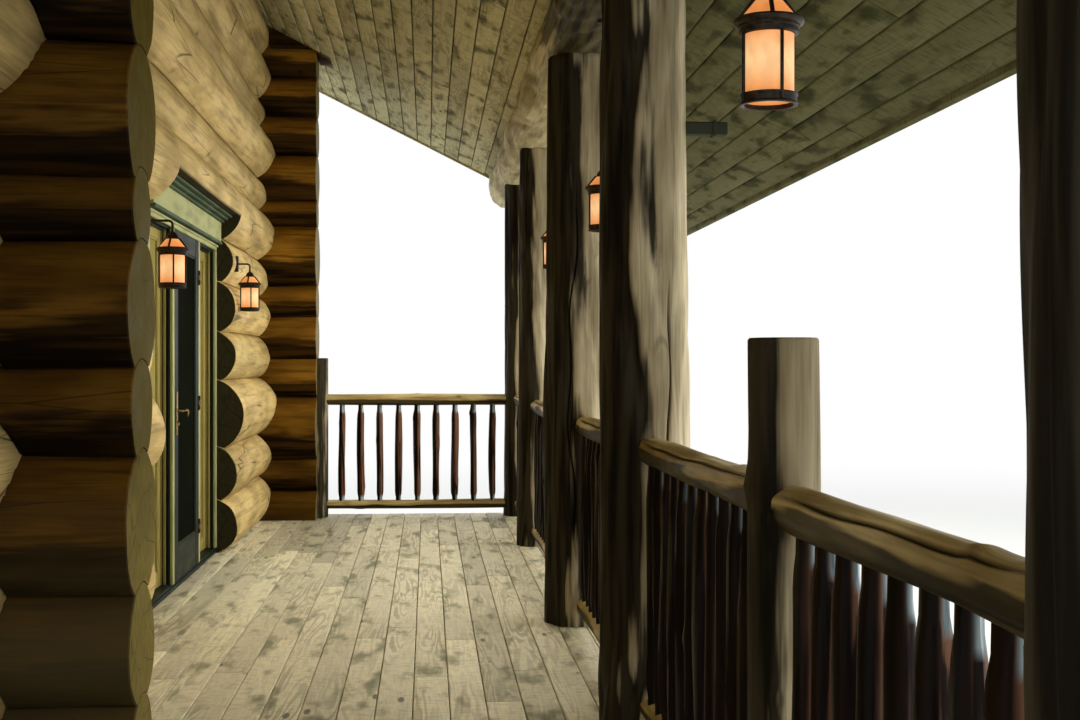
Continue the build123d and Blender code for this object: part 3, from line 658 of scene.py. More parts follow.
def log_skin(name, pale, mid, dark, end_pale, end_dark, roughness=0.62, check=0.8, shaded_share=1.0,
             upper_end=None):
    """Peeled log: broad warm and grey patches, fibre streaks, knots and drying cracks; ringed cut ends.
    sheltered is how much of its colour is left on the side turned from the light: painted shade, in streaks.
    upper_end is the colour of cut ends from breast height up, where no rain splashes them."""
    wood = Finish(name)
    grain = wood.mark("grain", 1)
    cut = wood.mark("cut")
    crack = wood.mark("crack")
    fibre = wood.noise(grain, (120, 120, 4), 2)
    streak = wood.noise(grain, (26, 26, 1.6), 3)
    patch = wood.noise(grain, (6, 6, 1.7), 3)
    flats = wood.noise(grain, (15, 15, 4.5), 1)
    cell = wood.cells(grain, (3.1, 3.1, 2.1))
    seam = wood.cells(grain, (9, 9, 0.45), "DISTANCE_TO_EDGE").ramp(0.003, 0.016, 1, 0)
    checks = seam * wood.noise(grain, (3, 3, 1.1), 1).ramp(0.50, 0.60) * check
    colour = wood.mix(patch.ramp(0.34, 0.66), mid, pale)
    colour = wood.mix(streak.ramp(0.46, 0.74, 0, 0.55), colour, dark)
    colour = wood.mix(fibre.ramp(0.45, 0.8, 0, 0.35), colour, dark)
    colour = wood.mix(cell.ramp(0.06, 0.15, 1, 0) * 0.35, colour, dark)
    colour = wood.lit(colour, 1 + 0.10 * wood.mark("tone"))
    # Painted light and shade: the colour stays pale where the skin faces the light, and goes dark in streaks
    # on the side turned from it.
    if shaded_share < 1:
        bleached_and_lit = (wood.mark("side") + (streak - 0.5) * 1.1 + (patch - 0.5) * 0.9).ramp(-0.25, 0.05)
        stained_and_shaded = wood.mix(streak.ramp(0.35, 0.65), darker(mid, shaded_share), darker(dark, shaded_share * 0.6))
        colour = wood.mix(bleached_and_lit, stained_and_shaded, colour)
    colour = wood.mix(cell.ramp(0.045, 0.085, 1, 0) * 0.8, colour, darker(dark, 0.35))
    colour = wood.mix(checks, colour, darker(dark, 0.25))
    colour = wood.mix(crack, colour, darker(dark, 0.2))
    from_pith = wood.length(wood.stretch(grain, (1, 1, 0)))
    wander = wood.noise(grain, (9, 9, 0), 1)
    rings = (from_pith * 760 + wander * 26).wave().ramp(-0.8, 1.0)
    ray = wood.cells(grain, (7, 7, 0), "DISTANCE_TO_EDGE").ramp(0.004, 0.025, 0.6, 0)
    saw = wood.noise(grain, (90, 14, 0), 1)
    if upper_end:
        level = wood.part_of(wood.place(), 2) + (patch - 0.5) * 0.8
        end_pale = wood.mix(level.ramp(1.2, 1.9), end_pale, upper_end)
        colour = wood.mix(level.ramp(1.0, 1.7, 0.55, 0), colour, (0.11, 0.092, 0.045))
    end_colour = wood.mix(rings * 0.5, end_pale, end_dark)
    end_colour = wood.mix(saw.ramp(0.4, 0.7, 0, 0.5), end_colour, end_dark)
    end_colour = wood.mix(ray * from_pith.ramp(0.02, 0.1, 0, 0.8), end_colour, darker(end_dark, 0.3))
    return wood.coat(wood.mix(cut, colour, end_colour),
                     patch.ramp(0.3, 0.7, roughness + 0.08, roughness - 0.08),
                     (fibre * 0.25 + streak * 0.35 + flats * 1.3 - crack) * (1 - cut), 0.005, 0.8,
                     Specular_IOR_Level=0.08)


# The front logs' cut ends are near black, beside the door and in the flat cut over it: painted shade.
front_finish = log_skin("front_log_wood", (0.68, 0.505, 0.21), (0.44, 0.32, 0.130), (0.17, 0.12, 0.042),
                        (0.035, 0.030, 0.014), (0.014, 0.012, 0.006))
# The side wall logs are much darker than the front logs, and paler on top than underneath: painted shade and
# painted light, for faces turned from the daylight.
near_side_finish = log_skin("near_side_log_wood", (0.165, 0.082, 0.010), (0.085, 0.040, 0.005),
                            (0.022, 0.010, 0.001), (0.26, 0.205, 0.055), (0.075, 0.056, 0.009),
                            check=0.5, shaded_share=0.3, upper_end=(0.098, 0.070, 0.002))
far_side_finish = log_skin("far_side_log_wood", (0.340, 0.165, 0.018), (0.175, 0.080, 0.009),
                           (0.035, 0.015, 0.002), (0.22, 0.18, 0.07), (0.06, 0.045, 0.012),
                           check=0.5, shaded_share=0.25)
side_walls = (("near", near_side_wall, near_side_courses, near_side_logs, near_side_finish),
              ("far", far_side_wall, far_side_courses, far_side_logs, far_side_finish))
for name, line, courses, start, stop in front_spans:
    logs = []
    for course in courses:
        below = [lower for (span, number), lower in front_logs.items()
                 if number == course - 1 and (span == name or course == first_over_door)]
        crossed = []
        for _, wall, side_courses, side_logs, _ in side_walls:
            if start < wall < stop:
                crossed += crossing(side_courses, front_courses[course], side_logs)
        logs.append((course, front_logs[name, course], below, crossed))
    lay_wall(f"front_logs_{name}", f"front_wall_{name}", front_finish, logs)
for name, _, courses, side_logs, finish in side_walls:
    fronts = [front_logs[name if course < first_over_door else "over_door", course] for course in range(12)]
    logs = [(number, log, side_logs[max(number - 1, 0):number], crossing(front_courses, course, fronts))
            for number, (course, log) in enumerate(zip(courses, side_logs))]
    lay_wall(f"{name}_side", f"{name}_side_wall", finish, logs, around=56, step=0.025)


# Door unit: a dark painted frame with sage cover strips and a sage head board, let into the log wall.
# Two fixed sidelights sit deep in the frame, and a hinged glazed leaf is flush with its face.
unit_middle = (unit_start + unit_end) / 2
frame_face = -1.515
frame_back = -1.63
sash_face = frame_back + 0.045
leaf_back = frame_face - 0.045
head_board_face = -1.475
jamb = 0.045
leaf_opening = 0.85
leaf_gap = 0.005
jamb_foot = deck_level + 0.04
jamb_top = frame_top - 0.05
strip = 0.018
strip_back = frame_face - strip
light_width = (unit_end - unit_start - leaf_opening) / 2 - 2 * jamb
light_starts = [unit_start + jamb, unit_end - jamb - light_width]
sill, jambs, head, head_board, strips, crown = (Pile() for _ in range(6))
board(sill, (frame_face - 0.040, unit_start + 0.01, deck_level + 0.002),
      (frame_face, unit_end - 0.01, jamb_foot - 0.016), 1, ease=0.004)
for middle, side in ((unit_start + jamb / 2, 1), (unit_middle - (leaf_opening + jamb) / 2, -1),
                     (unit_middle + (leaf_opening + jamb) / 2, 1), (unit_end - jamb / 2, -1)):
    board(jambs, (frame_back, middle - jamb / 2, jamb_foot), (strip_back, middle + jamb / 2, jamb_top), 2)
    edge = middle + side * jamb / 2
    for step, depth in ((0.010, 0.012), (0.006, 0.028), (0.012, 0.044)):
        low, high = sorted((edge - side * 0.002, edge + side * step))
        board(jambs, (strip_back - depth, low, jamb_foot), (strip_back - depth + 0.010, high, jamb_top), 2,
              ease=0.002)
    low, high = sorted((middle - side * jamb / 2, edge + side * 0.006))
    board(strips, (strip_back, low, jamb_foot), (frame_face, high, jamb_top - 0.001), 2)
for side in (-1, 1):
    low, high = sorted(unit_middle + side * (leaf_opening / 2 + shift) for shift in (-0.015, 0.002))
    board(jambs, (frame_back, low, jamb_foot), (leaf_back - leaf_gap, high, jamb_top), 2, ease=0.002)
for start, (drop, depth) in itertools.product(light_starts, ((0.012, 0.016), (0.024, 0.040))):
    board(head, (strip_back - depth, start, jamb_top - drop),
          (strip_back - depth + 0.012, start + light_width, jamb_top + 0.002), 1, ease=0.002)
for pile, back, foot, face, top, ease in (
        (sill, frame_back, deck_level, frame_face - 0.012, jamb_foot - 0.004, 0.003),
        (head, frame_back, jamb_top, strip_back, frame_top, 0.003),
        (strips, strip_back, jamb_top, frame_face, frame_top - 0.014, 0.003),
        (strips, frame_face - 0.002, jamb_top + 0.022, frame_face + 0.012, frame_top - 0.014, 0.004),
        (head_board, frame_back, frame_top, head_board_face - 0.010, opening_top - 0.002, 0.003)):
    board(pile, (back, unit_start, foot), (face, unit_end, top), 1, ease=ease)
for back, foot, face, top in ((-0.030, -0.012, -0.002, 0.010), (-0.040, 0.140, 0.012, 0.156),
                              (-0.040, 0.158, 0.038, 0.174), (-0.040, 0.176, 0.066, 0.189)):
    board(crown, (head_board_face + back, unit_start, frame_top + foot),
          (head_board_face + face, unit_end, frame_top + top), 1, ease=0.004)


def paint(name, fresh, worn, roughness):
    """Brushed paint over softwood: faint grain and brush marks, rubbed a little along the boards."""
    coat = Finish(name)
    grain = coat.mark("grain", 1)
    brush = coat.noise(grain, (300, 300, 6), 2)
    patch = coat.noise(grain, (12, 12, 3), 4)
    colour = coat.lit(coat.mix(patch.ramp(0.4, 0.7), fresh, worn), 1 + 0.1 * coat.mark("tone"))
    return coat.coat(colour, patch.ramp(0.3, 0.7, roughness, roughness + 0.15), brush, 0.0006,
                     Specular_IOR_Level=0.08)


dark_paint = paint("dark_green_paint", (0.008, 0.013, 0.009), (0.016, 0.024, 0.016), 0.35)
sage_paint = paint("sage_paint", (0.36, 0.37, 0.18), (0.26, 0.27, 0.125), 0.55)
# The sidelight sashes and their liners are olive: sage paint with painted warm light and shade, as it looks
# deep in the reveals.
warm_shade_paint = paint("warm_shade_paint", (0.30, 0.245, 0.075), (0.23, 0.185, 0.055), 0.5)
crown_paint = paint("green_paint", (0.060, 0.090, 0.050), (0.042, 0.065, 0.036), 0.5)
sill.done("sill_board", "door_paint", dark_paint, "door_sill")
jambs.done("jambs_and_mullions", "door_paint", dark_paint, "door_jambs")
head.done("frame_head", "door_paint", dark_paint, "door_head")
strips.done("cover_strips", "board_paint", sage_paint)
head_board.done("sage_head_board", "board_paint", sage_paint, "head_board")
crown.done("crown_moulding", "board_paint", crown_paint)


def surround(pile, back, face, left, right, foot, top, stile, foot_rail, set_back=0.0, ease=0.002):
    """Two stiles and two rails round an opening. set_back keeps the rails under the faces of the stiles."""
    for start, stop in ((left, left + stile), (right - stile, right)):
        board(pile, (back, start, foot), (face, stop, top), 2, ease=ease)
    for start, stop in ((foot, foot + foot_rail), (top - stile, top)):
        board(pile, (back + set_back, left + stile, start), (face - set_back, right - stile, stop), 1,
              ease=ease)


def glazed_frame(pile, back, face, left, right, foot, top, stile, foot_rail, bead=0.012):
    """Stiles and rails round a pane, with a bead inside them on both faces."""
    surround(pile, back, face, left, right, foot, top, stile, foot_rail, set_back=0.001, ease=0.003)
    for low, high in ((back + 0.004, back + 0.012), (face - 0.012, face - 0.004)):
        surround(pile, low, high, left + stile, right - stile, foot + foot_rail, top - stile, bead, bead)


sashes = Pile()
for start in light_starts:
    stop = start + light_width
    glazed_frame(sashes, frame_back, sash_face, start, stop, jamb_foot, jamb_top, 0.075, 0.075)
    # Olive liners at both sides of each light carry the same painted warm light and shade deep in the reveal.
    for low, high in ((start, start + 0.012), (stop - 0.012, stop)):
        board(sashes, (sash_face - 0.002, low, jamb_foot), (sash_face + 0.030, high, jamb_top), 2)
sashes.done("sidelight_frames", "board_paint", warm_shade_paint, "sidelight_sashes")
leaf_start = unit_middle - leaf_opening / 2 + leaf_gap
leaf_end = unit_middle + leaf_opening / 2 - leaf_gap
leaf = Pile()
glazed_frame(leaf, leaf_back, frame_face, leaf_start, leaf_end, jamb_foot + leaf_gap, jamb_top - leaf_gap,
             0.11, 0.20)
leaf.done("glazed_leaf", "door_paint", dark_paint, "door_leaf", body="door")


def glass(name, squash, deep, pale, smooth, rough, **fixed):
    """Tinted glass with faint smears. squash is their scale up the pane."""
    pane = Finish(name)
    smear = pane.noise(pane.place(), (3, 3, squash), 3)
    return pane.coat(pane.mix(smear, deep, pale), smear.ramp(0.3, 0.7, smooth, rough), **fixed)


carried_over = {
    "door_glass": glass("dark_glass", 3, (0.004, 0.005, 0.003), (0.008, 0.009, 0.006), 0.10, 0.20,
                        Alpha=0.99, Specular_IOR_Level=0.0),
    # The sidelight glass is an opaque olive: a painted reflection.
    "sidelight_glass": glass("painted_reflection_glass", 2, (0.27, 0.225, 0.07), (0.35, 0.30, 0.10), 0.08, 0.14,
                             Specular_IOR_Level=0.1),
}


# Handles and hinges: a long brass plate on each face of the lock stile, with a lever that curls at its end
# and a lock cylinder under it. Three brass butt hinges carry the leaf.
handle_place = leaf_start + 0.055
handle_level = deck_level + 1.03
handle_plate = 0.038


def turned(pile, centre, profile, around=32):
    """A round shape from its half outline of (radius, height) pairs, standing on a centre."""
    turn = np.linspace(0, 2 * math.pi, around, endpoint=False)[None, :]
    radius, height = (np.array(part)[:, None] for part in zip(*profile))
    points = np.stack([radius * np.cos(turn), radius * np.sin(turn), height + 0 * turn], -1)
    pile.add(points + np.asarray(centre), skin(len(profile), around), points)


def rod(pile, path, radius, around=12):
    """A round bar along a path of points, with domed ends."""
    path = [Vector(point) for point in path]
    rows = []
    side = None
    for number, point in enumerate(path):
        ahead = path[min(number + 1, len(path) - 1)] - path[max(number - 1, 0)]
        ahead.normalize()
        if side is None:
            side = ahead.orthogonal().normalized()
        side = (side - ahead * side.dot(ahead)).normalized()
        other = ahead.cross(side)
        sizes = [(0.0, 1.0)]
        if number == 0:
            sizes = [(-0.9, 0.05), (-0.7, 0.7), (0.0, 1.0)]
        if number == len(path) - 1:
            sizes = [(0.0, 1.0), (0.7, 0.7), (0.9, 0.05)]
        for shift, share in sizes:
            rows.append([point + ahead * shift * radius * 0.6
                         + (side * math.cos(turn) + other * math.sin(turn)) * radius * share
                         for turn in np.linspace(0, 2 * math.pi, around, endpoint=False)])
    points = np.array([[list(point) for point in row] for row in rows])
    pile.add(points, skin(len(rows), around), points)


def worn_metal(name, bright, dull, smooth, rough, scale=60, relief=False, carried=False, metallic=1.0):
    """Cast or rolled metal, rubbed bright in patches. carried is for a node that has no grain marks."""
    metal = Finish(name)
    where = metal.place() if carried else metal.mark("grain", 1)
    wear = metal.noise(where, (scale, scale, scale), 4)
    return metal.coat(metal.mix(wear.ramp(0.4, 0.7), bright, dull), wear.ramp(0.3, 0.7, smooth, rough),
                      wear if relief else None, 0.0006, Metallic=metallic)


brass_work = Pile()
lever = [(0, 0, 0), (0.03, 0, 0), (0.046, 0.004, 0.001), (0.052, 0.018, 0.003), (0.053, 0.05, 0.002),
         (0.052, 0.08, -0.008), (0.047, 0.100, -0.024), (0.042, 0.106, -0.032)]
lock_cylinder = [(0, 0, -0.075), (0.012, 0, -0.075)]
for face, out in ((frame_face, 1), (leaf_back, -1)):
    low_face, high_face = sorted((face, face + out * 0.006))
    board(brass_work, (low_face, handle_place - handle_plate / 2, handle_level - 0.14),
          (high_face, handle_place + handle_plate / 2, handle_level + 0.11), 2, ease=0.002)
    for path, radius, around in ((lever, 0.007, 16), (lock_cylinder, 0.011, 20)):
        rod(brass_work, [(face + out * proud, handle_place + along, handle_level + up)
                         for proud, along, up in path], radius, around)
brass_work.done("lever_handles", "brass",
                worn_metal("brass", (0.66, 0.47, 0.20), (0.34, 0.24, 0.11), 0.22, 0.5),
                "door_handles", body="door")
carried_over["hinge_pins"] = carried_over["hinge_knuckles"] = worn_metal(
    "hinge_brass", (0.60, 0.43, 0.19), (0.32, 0.23, 0.11), 0.25, 0.5, carried=True)
for node, finish in carried_over.items():
    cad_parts[node].material_slots[0].material = finish


# Porch posts: whole hand peeled logs, thicker at the foot, with drawknife flats, swellings and knots.
# Each stands on the deck over a pier and has a flat seat for the plate log. A short newel stands on the
# rail line, and a half round one against the far side wall.
post_rounds = [(0.285, 0.280, 0.270), (0.330, 0.310, 0.300), (0.380, 0.352, 0.340),
               (0.262, 0.240, 0.232), (0.236, 0.220, 0.212)]
plate_axis = deck_level + 3.01
plate_round = 0.38
seat_level = plate_axis - plate_round / 2 + 0.025
post_height = seat_level - deck_level
far_stub_end = -1.0


def pole(pile, foot, run, profile, seed, swell, around, step, knots, pace=6.0, flats=(), split=None, cuts=(),
         ends=True):
    """A peeled pole from its foot along one axis. profile is (distance, radius) pairs, knots is how many
    stand out, flats are drawknife ridges, split is a drying crack, and cuts are spans of bare wood."""
    chance = random.Random(seed)
    tone = chance.uniform(-1, 1)
    offset = chance.uniform(0, 40)
    length = profile[-1][0]
    distances, radii = zip(*profile)
    places = np.unique(np.round([*np.linspace(0, length, int(length / step) + 2), *distances], 5))
    along = places[:, None]
    radius = np.interp(places, distances, radii)[:, None]
    grid = np.linspace(-math.pi, math.pi, around, endpoint=False)
    turn = grid[None, :] + 0 * along
    if split:
        split_turn, split_from, split_to, split_width = split
        grid = np.unique(np.concatenate([grid, split_turn + split_width * np.linspace(-1.5, 1.5, 7)]))
        around = len(grid)
        turn = grid[None, :] + 0.12 * np.sin(along * 3.1 + 1.0) + 0.05 * np.sin(along * 11)
    ridged = 0 * turn
    for ridges, size in flats:
        wander = chance.uniform(-0.5, 0.5) * along
        wander = wander + 0.5 * np.sin(chance.uniform(1.0, 2.2) * along + chance.uniform(*any_phase))
        fade = 0.65 + 0.35 * np.sin(chance.uniform(1.5, 4.0) * along + chance.uniform(*any_phase) + turn)
        ridged = ridged + size * fade * (np.abs(np.sin(ridges / 2 * turn + ridges * wander)) - 0.6)
    grown = 1.0 + ridged
    bumps = [(turns, 0.25, 0.8) for turns in (0, 1, 1, 2, 2, 3, 3, 4, 5)]
    if around > 24:
        bumps += [(turns, 0.1, 0.25) for turns in (6, 7, 9)]
    for turns, least, most in bumps:
        size = swell * chance.uniform(least, most)
        winding = turns * turn + chance.uniform(-pace, pace) * along
        grown = grown + size * np.sin(winding + chance.uniform(*any_phase))
    reach = radius * grown
    crack = 0 * reach
    for _ in range(knots):
        where_turn, where_along = chance.uniform(-3.1, 3.1), chance.uniform(0.1, 0.95) * length
        size = chance.uniform(0.02, 0.045)
        away = (np.angle(np.exp(1j * (turn - where_turn))) * radius) ** 2 + (along - where_along) ** 2
        reach = reach + np.exp(-away / size ** 2) * chance.uniform(0.004, 0.012)
        crack = np.maximum(crack, np.exp(-away / (0.28 * size) ** 2) * 0.8)
    if split:
        taper = np.clip((along - split_from) / 0.25, 0, 1) * np.clip((split_to - along) / 0.25, 0, 1)
        inside = np.exp(-2 * ((grid[None, :] - split_turn) / split_width) ** 2) * taper
        reach = reach - inside * np.minimum(radius * 0.16, 0.012)
        crack = np.maximum(crack, inside)
    cut = 0 * reach
    for cut_from, cut_to in cuts:
        cut = np.maximum(cut, 1.0 * ((along >= cut_from - 0.001) & (along <= cut_to + 0.001)))
    axis_a, axis_b = cross_axes[run]
    points = np.zeros(reach.shape + (3,))
    points[..., axis_a] = foot[axis_a] + reach * np.cos(turn)
    points[..., axis_b] = foot[axis_b] + reach * np.sin(turn)
    points[..., run] = foot[run] + along
    grain = np.stack([reach * np.cos(turn), reach * np.sin(turn), along + offset + 0 * reach], -1)
    # side is how far the skin faces the open side, or up for a lying pole, with the drawknife ridges added so
    # that their crests come out pale: it carries painted light and shade into the finish.
    light_way = (0.35, 0.0, 0.94)
    side = light_way[axis_a] * np.cos(turn) + light_way[axis_b] * np.sin(turn)
    side = side / math.hypot(light_way[axis_a], light_way[axis_b]) + 5 * ridged
    pile.add(points, skin(len(places), around), grain, tone, cut, crack, side)
    if ends:
        for end, flip in ((0, True), (-1, False)):
            cut_end(pile, points[end], grain[end], tone, (1.0, 0.7, 0.3), flip)


# The posts are pale on the side toward the open side and dark on the side away from it, with pale ridge
# crests: painted light and shade.
post_finish = log_skin("post_wood", (0.68, 0.58, 0.38), (0.36, 0.295, 0.175), (0.095, 0.074, 0.040),
                       (0.34, 0.28, 0.16), (0.18, 0.14, 0.07), roughness=0.6, check=0.35, shaded_share=0.11)
post_splits = (None, (-1.05, 0.25, 1.6, 0.03), (-1.9, 0.3, 2.2, 0.03), None, None)
for number, (place, rounds, split) in enumerate(zip(post_places, post_rounds, post_splits)):
    foot_radius, middle_radius, top_radius = (size / 2 for size in rounds)
    post = Pile()
    pole(post, (rail_line, place, deck_level), 2,
         [(0, foot_radius), (post_height / 2, middle_radius), (post_height - 0.012, top_radius),
          (post_height, top_radius - 0.008)],
         seed=40 + number, swell=0.018, around=96, step=0.03, knots=9, pace=3.0, split=split,
         flats=((7, 0.085), (5, 0.05), (13, 0.035)))
    post.done(f"peeled_post_{number + 1}", "post_log", post_finish, f"porch_post_{number + 1}")

arm = Pile()
arm_level = deck_level + 2.146
for start, stop, half_width, half_height, ease in ((0.10, 0.30, 0.025, 0.023, 0.004),
                                                   (0.245, 0.257, 0.030, 0.028, 0.002)):
    board(arm, (rail_line + start, post_places[1] - half_width, arm_level - half_height),
          (rail_line + stop, post_places[1] + half_width, arm_level + half_height), 0, ease=ease)
arm.done("short_post_arm", "frame_wood",
         sawn("arm_wood", (0.050, 0.055, 0.035), (0.030, 0.032, 0.020), (0.018, 0.020, 0.012)))

newel = Pile()
newel_height = 1.357
newel_radius = 0.08
newel_painted_light = 0.22
pole(newel, (rail_line, newel_place, deck_level), 2,
     [(0, 0.082), (0.6, newel_radius), (newel_height - 0.005, 0.077), (newel_height, 0.073)],
     seed=60, swell=0.015, around=64, step=0.03, knots=4, pace=3.0, flats=((9, 0.04), (5, 0.03)))
# The newel is shifted toward its lit colour: painted light.
for marks in newel.marks:
    marks[:, 6] += newel_painted_light
newel.done("newel", "post_log", post_finish, "newel_post")
half_newel = Pile()
half_height = 1.35
half_radius = 0.088
half_newel_painted_shade = -0.20
half_round = [(far_stub_end + half_radius * math.cos(turn), post_places[-1] + half_radius * math.sin(turn))
              for turn in np.linspace(-math.pi / 2, math.pi / 2, 17)]
prism(half_newel, half_round, 2, deck_level, deck_level + half_height, ease=0.008, offset=3.3, steps=12)
# The half round newel takes its shaded colour all over: painted shade.
for marks in half_newel.marks:
    marks[:, 6] = half_newel_painted_shade
half_newel.done("half_round_newel", "post_log", post_finish, "half_newel_post")


# Plate log: one long knotty log on the post seats, flattened on top under the ceiling boards.
# Its skin is painted darker towards the near end and paler towards the far end: painted shade and light.
plate_length = 12.5
seat_reach = 0.2
plate = Pile()
pole(plate, (rail_line, wall_start, plate_axis), 1,
     [(0, 0.186), (0.006, 0.19), (plate_length - 0.006, 0.188), (plate_length, 0.184)],
     seed=71, swell=0.030, around=96, step=0.035, knots=60, pace=7, flats=((9, 0.07), (13, 0.04)))
for points, marks in zip(plate.points, plate.marks):
    points[:, 2] = np.minimum(points[:, 2], ceiling_height(points[:, 0]) - 0.001)
    for place in post_places:
        on_seat = np.abs(points[:, 1] - place) < seat_reach
        points[on_seat, 2] = np.maximum(points[on_seat, 2], seat_level - 0.001)
    # The facing mark follows the length here: painted shade at the near end, painted light at the far end.
    marks[:, 6] = np.clip((points[:, 1] - 0.2) * 0.3, -0.8, 1.0)
plate_finish = log_skin("plate_wood", (0.66, 0.58, 0.34), (0.36, 0.31, 0.165), (0.085, 0.070, 0.030),
                        (0.34, 0.28, 0.16), (0.18, 0.14, 0.07), roughness=0.65, check=0.3, shaded_share=0.32)
plate.done("knotty_plate_log", "post_log", plate_finish, "plate_log")


# Railings: peeled pole rails let into the posts, and stained pole spindles with bare whittled tenons.
# Five lengths join the posts and the newel, and one crosses the far end to the half round newel.
top_rail_axis = deck_level + 0.996
bottom_rail_axis = deck_level + 0.105
spindle_height = top_rail_axis - bottom_rail_axis
socket = 0.03
# The rails are pale on top and dark underneath: painted light and shade.
rail_finish = log_skin("rail_wood", (0.64, 0.51, 0.24), (0.33, 0.235, 0.085), (0.085, 0.052, 0.016),
                       (0.36, 0.30, 0.18), (0.20, 0.16, 0.09), roughness=0.45, check=0.3, shaded_share=0.2)
stained_and_shaded = Finish("spindle_wood")
grain = stained_and_shaded.mark("grain", 1)
side = stained_and_shaded.mark("side")
streak = stained_and_shaded.noise(grain, (60, 60, 3), 3)
lights = stained_and_shaded.noise(grain, (20, 20, 2), 2)
colour = stained_and_shaded.mix(streak.ramp(0.35, 0.65), (0.014, 0.007, 0.004), (0.050, 0.021, 0.010))
# A painted highlight: pale reddish streaks down each spindle on the side toward the open side.
painted_ridge_highlight = (side + (lights - 0.5) * 2.0).ramp(-0.30, 0.0) * streak.ramp(0.40, 0.50)
colour = stained_and_shaded.mix(painted_ridge_highlight, colour, (0.20, 0.095, 0.055))
colour = stained_and_shaded.lit(colour, 1 + 0.2 * stained_and_shaded.mark("tone"))
bare = stained_and_shaded.mix(streak.ramp(0.35, 0.7), (0.44, 0.53, 0.56), (0.12, 0.16, 0.175))
# Bare wood shows on the tenons only on the side toward the open side, where it is a painted highlight.
bare_on_lit_side = (side + (lights - 0.5) * 2.4).ramp(-0.25, 0.35)
colour = stained_and_shaded.mix(stained_and_shaded.mark("cut") * bare_on_lit_side, colour, bare)
# Painted shade: each spindle darkens on the side turned from the open side.
colour = stained_and_shaded.lit(colour, side.ramp(-0.35, 0.55, 0.18, 0.9))
spindle_finish = stained_and_shaded.coat(colour, streak.ramp(0.3, 0.7, 0.35, 0.5), streak + lights, 0.002,
                              Specular_IOR_Level=0.08)


def spindle_row(piece, run, start, stop, pitch, first_seed):
    """Spindles between two posts, each with its own swells and a tenon at both ends."""
    row = Pile()
    foot = [rail_line, post_places[-1], bottom_rail_axis]
    count = int((stop - start - 2 * socket) // pitch)
    for step in range(count):
        foot[run] = (start + stop) / 2 + (step - (count - 1) / 2) * pitch
        body = random.Random(first_seed + step).uniform(0.027, 0.031)
        pole(row, foot, 2,
             [(0, 0.021), (0.060, 0.022), (0.085, body * 0.93), (0.11, body),
              (spindle_height * 0.5, body * 1.02), (spindle_height - 0.16, body),
              (spindle_height - 0.12, body * 0.92), (spindle_height - 0.085, 0.022), (spindle_height, 0.020)],
             seed=first_seed + step, swell=0.085, around=16, step=0.05, knots=1, pace=9,
             cuts=((0, 0.062), (spindle_height - 0.108, spindle_height)), ends=False)
    row.done(piece, "rail_wood", spindle_finish)


uprights = [(place, rounds[1] / 2) for place, rounds in zip(post_places, post_rounds)]
uprights.insert(1, (newel_place, newel_radius))
for number, ((start, start_radius), (stop, stop_radius)) in enumerate(zip(uprights, uprights[1:])):
    start += start_radius - socket
    stop -= stop_radius - socket
    length = stop - start
    rails = Pile()
    pole(rails, (rail_line, start, top_rail_axis), 1,
         [(0, 0.044), (0.08, 0.049), (length / 2, 0.05), (length - 0.08, 0.049), (length, 0.044)],
         seed=80 + number, swell=0.045, around=48, step=0.03, knots=5,
         flats=((7, 0.05), (4, 0.04)), split=(-0.8, 0.02, length - 0.05, 0.13))
    pole(rails, (rail_line, start, bottom_rail_axis), 1, [(0, 0.037), (length, 0.039)],
         seed=90 + number, swell=0.04, around=24, step=0.04, knots=3)
    rails.done(f"peeled_rails_{number + 1}", "rail_wood", rail_finish, f"railing_{number + 1}")
    spindle_row(f"spindles_{number + 1}", 1, start, stop, pitch=0.145, first_seed=1000 + 40 * number)

start = far_stub_end + 0.09 - socket
stop = rail_line - post_rounds[-1][1] / 2 + socket
end_rails = Pile()
for level, radius, seed, swell, around, knots in ((top_rail_axis, 0.047, 97, 0.045, 32, 4),
                                                  (bottom_rail_axis, 0.037, 98, 0.04, 24, 2)):
    pole(end_rails, (start, post_places[-1], level), 0, [(0, radius), (stop - start, radius)],
         seed, swell, around, step=0.04, knots=knots)
end_rails.done("far_end_rails", "rail_wood", rail_finish, "end_railing")
spindle_row("far_end_spindles", 0, start, stop, pitch=0.16, first_seed=1400)


# Roof: rough sawn ceiling boards along the porch, rafters over them, close boards and split shingles.
# The eave and the far gable are closed with plain boards.
roof_half_width = 2.07
roof_half_length = 6.45
ceiling_line = 1.936
ceiling_pitch = 0.1316
ceiling_rise = 0.02795
ceiling_gap = 0.007
fascia = 0.025
rafter_width = 0.045
rafter_pitch = 0.6
rafter_top = 0.18447
cover_top = 0.23478
sheath_top = cover_top - 0.022
sheath_boards = 30
sheath_pitch = 2 * roof_half_width / sheath_boards
exposure = 0.125
outer = roof_half_width - fascia
far_edge = roof_half_length - fascia
roof_chance = random.Random(9)


def on_slope(points):
    """Turns heights over the ceiling line into heights over the ground."""
    lifted = points.copy()
    lifted[:, 2] += ceiling_height(points[:, 0])
    return lifted


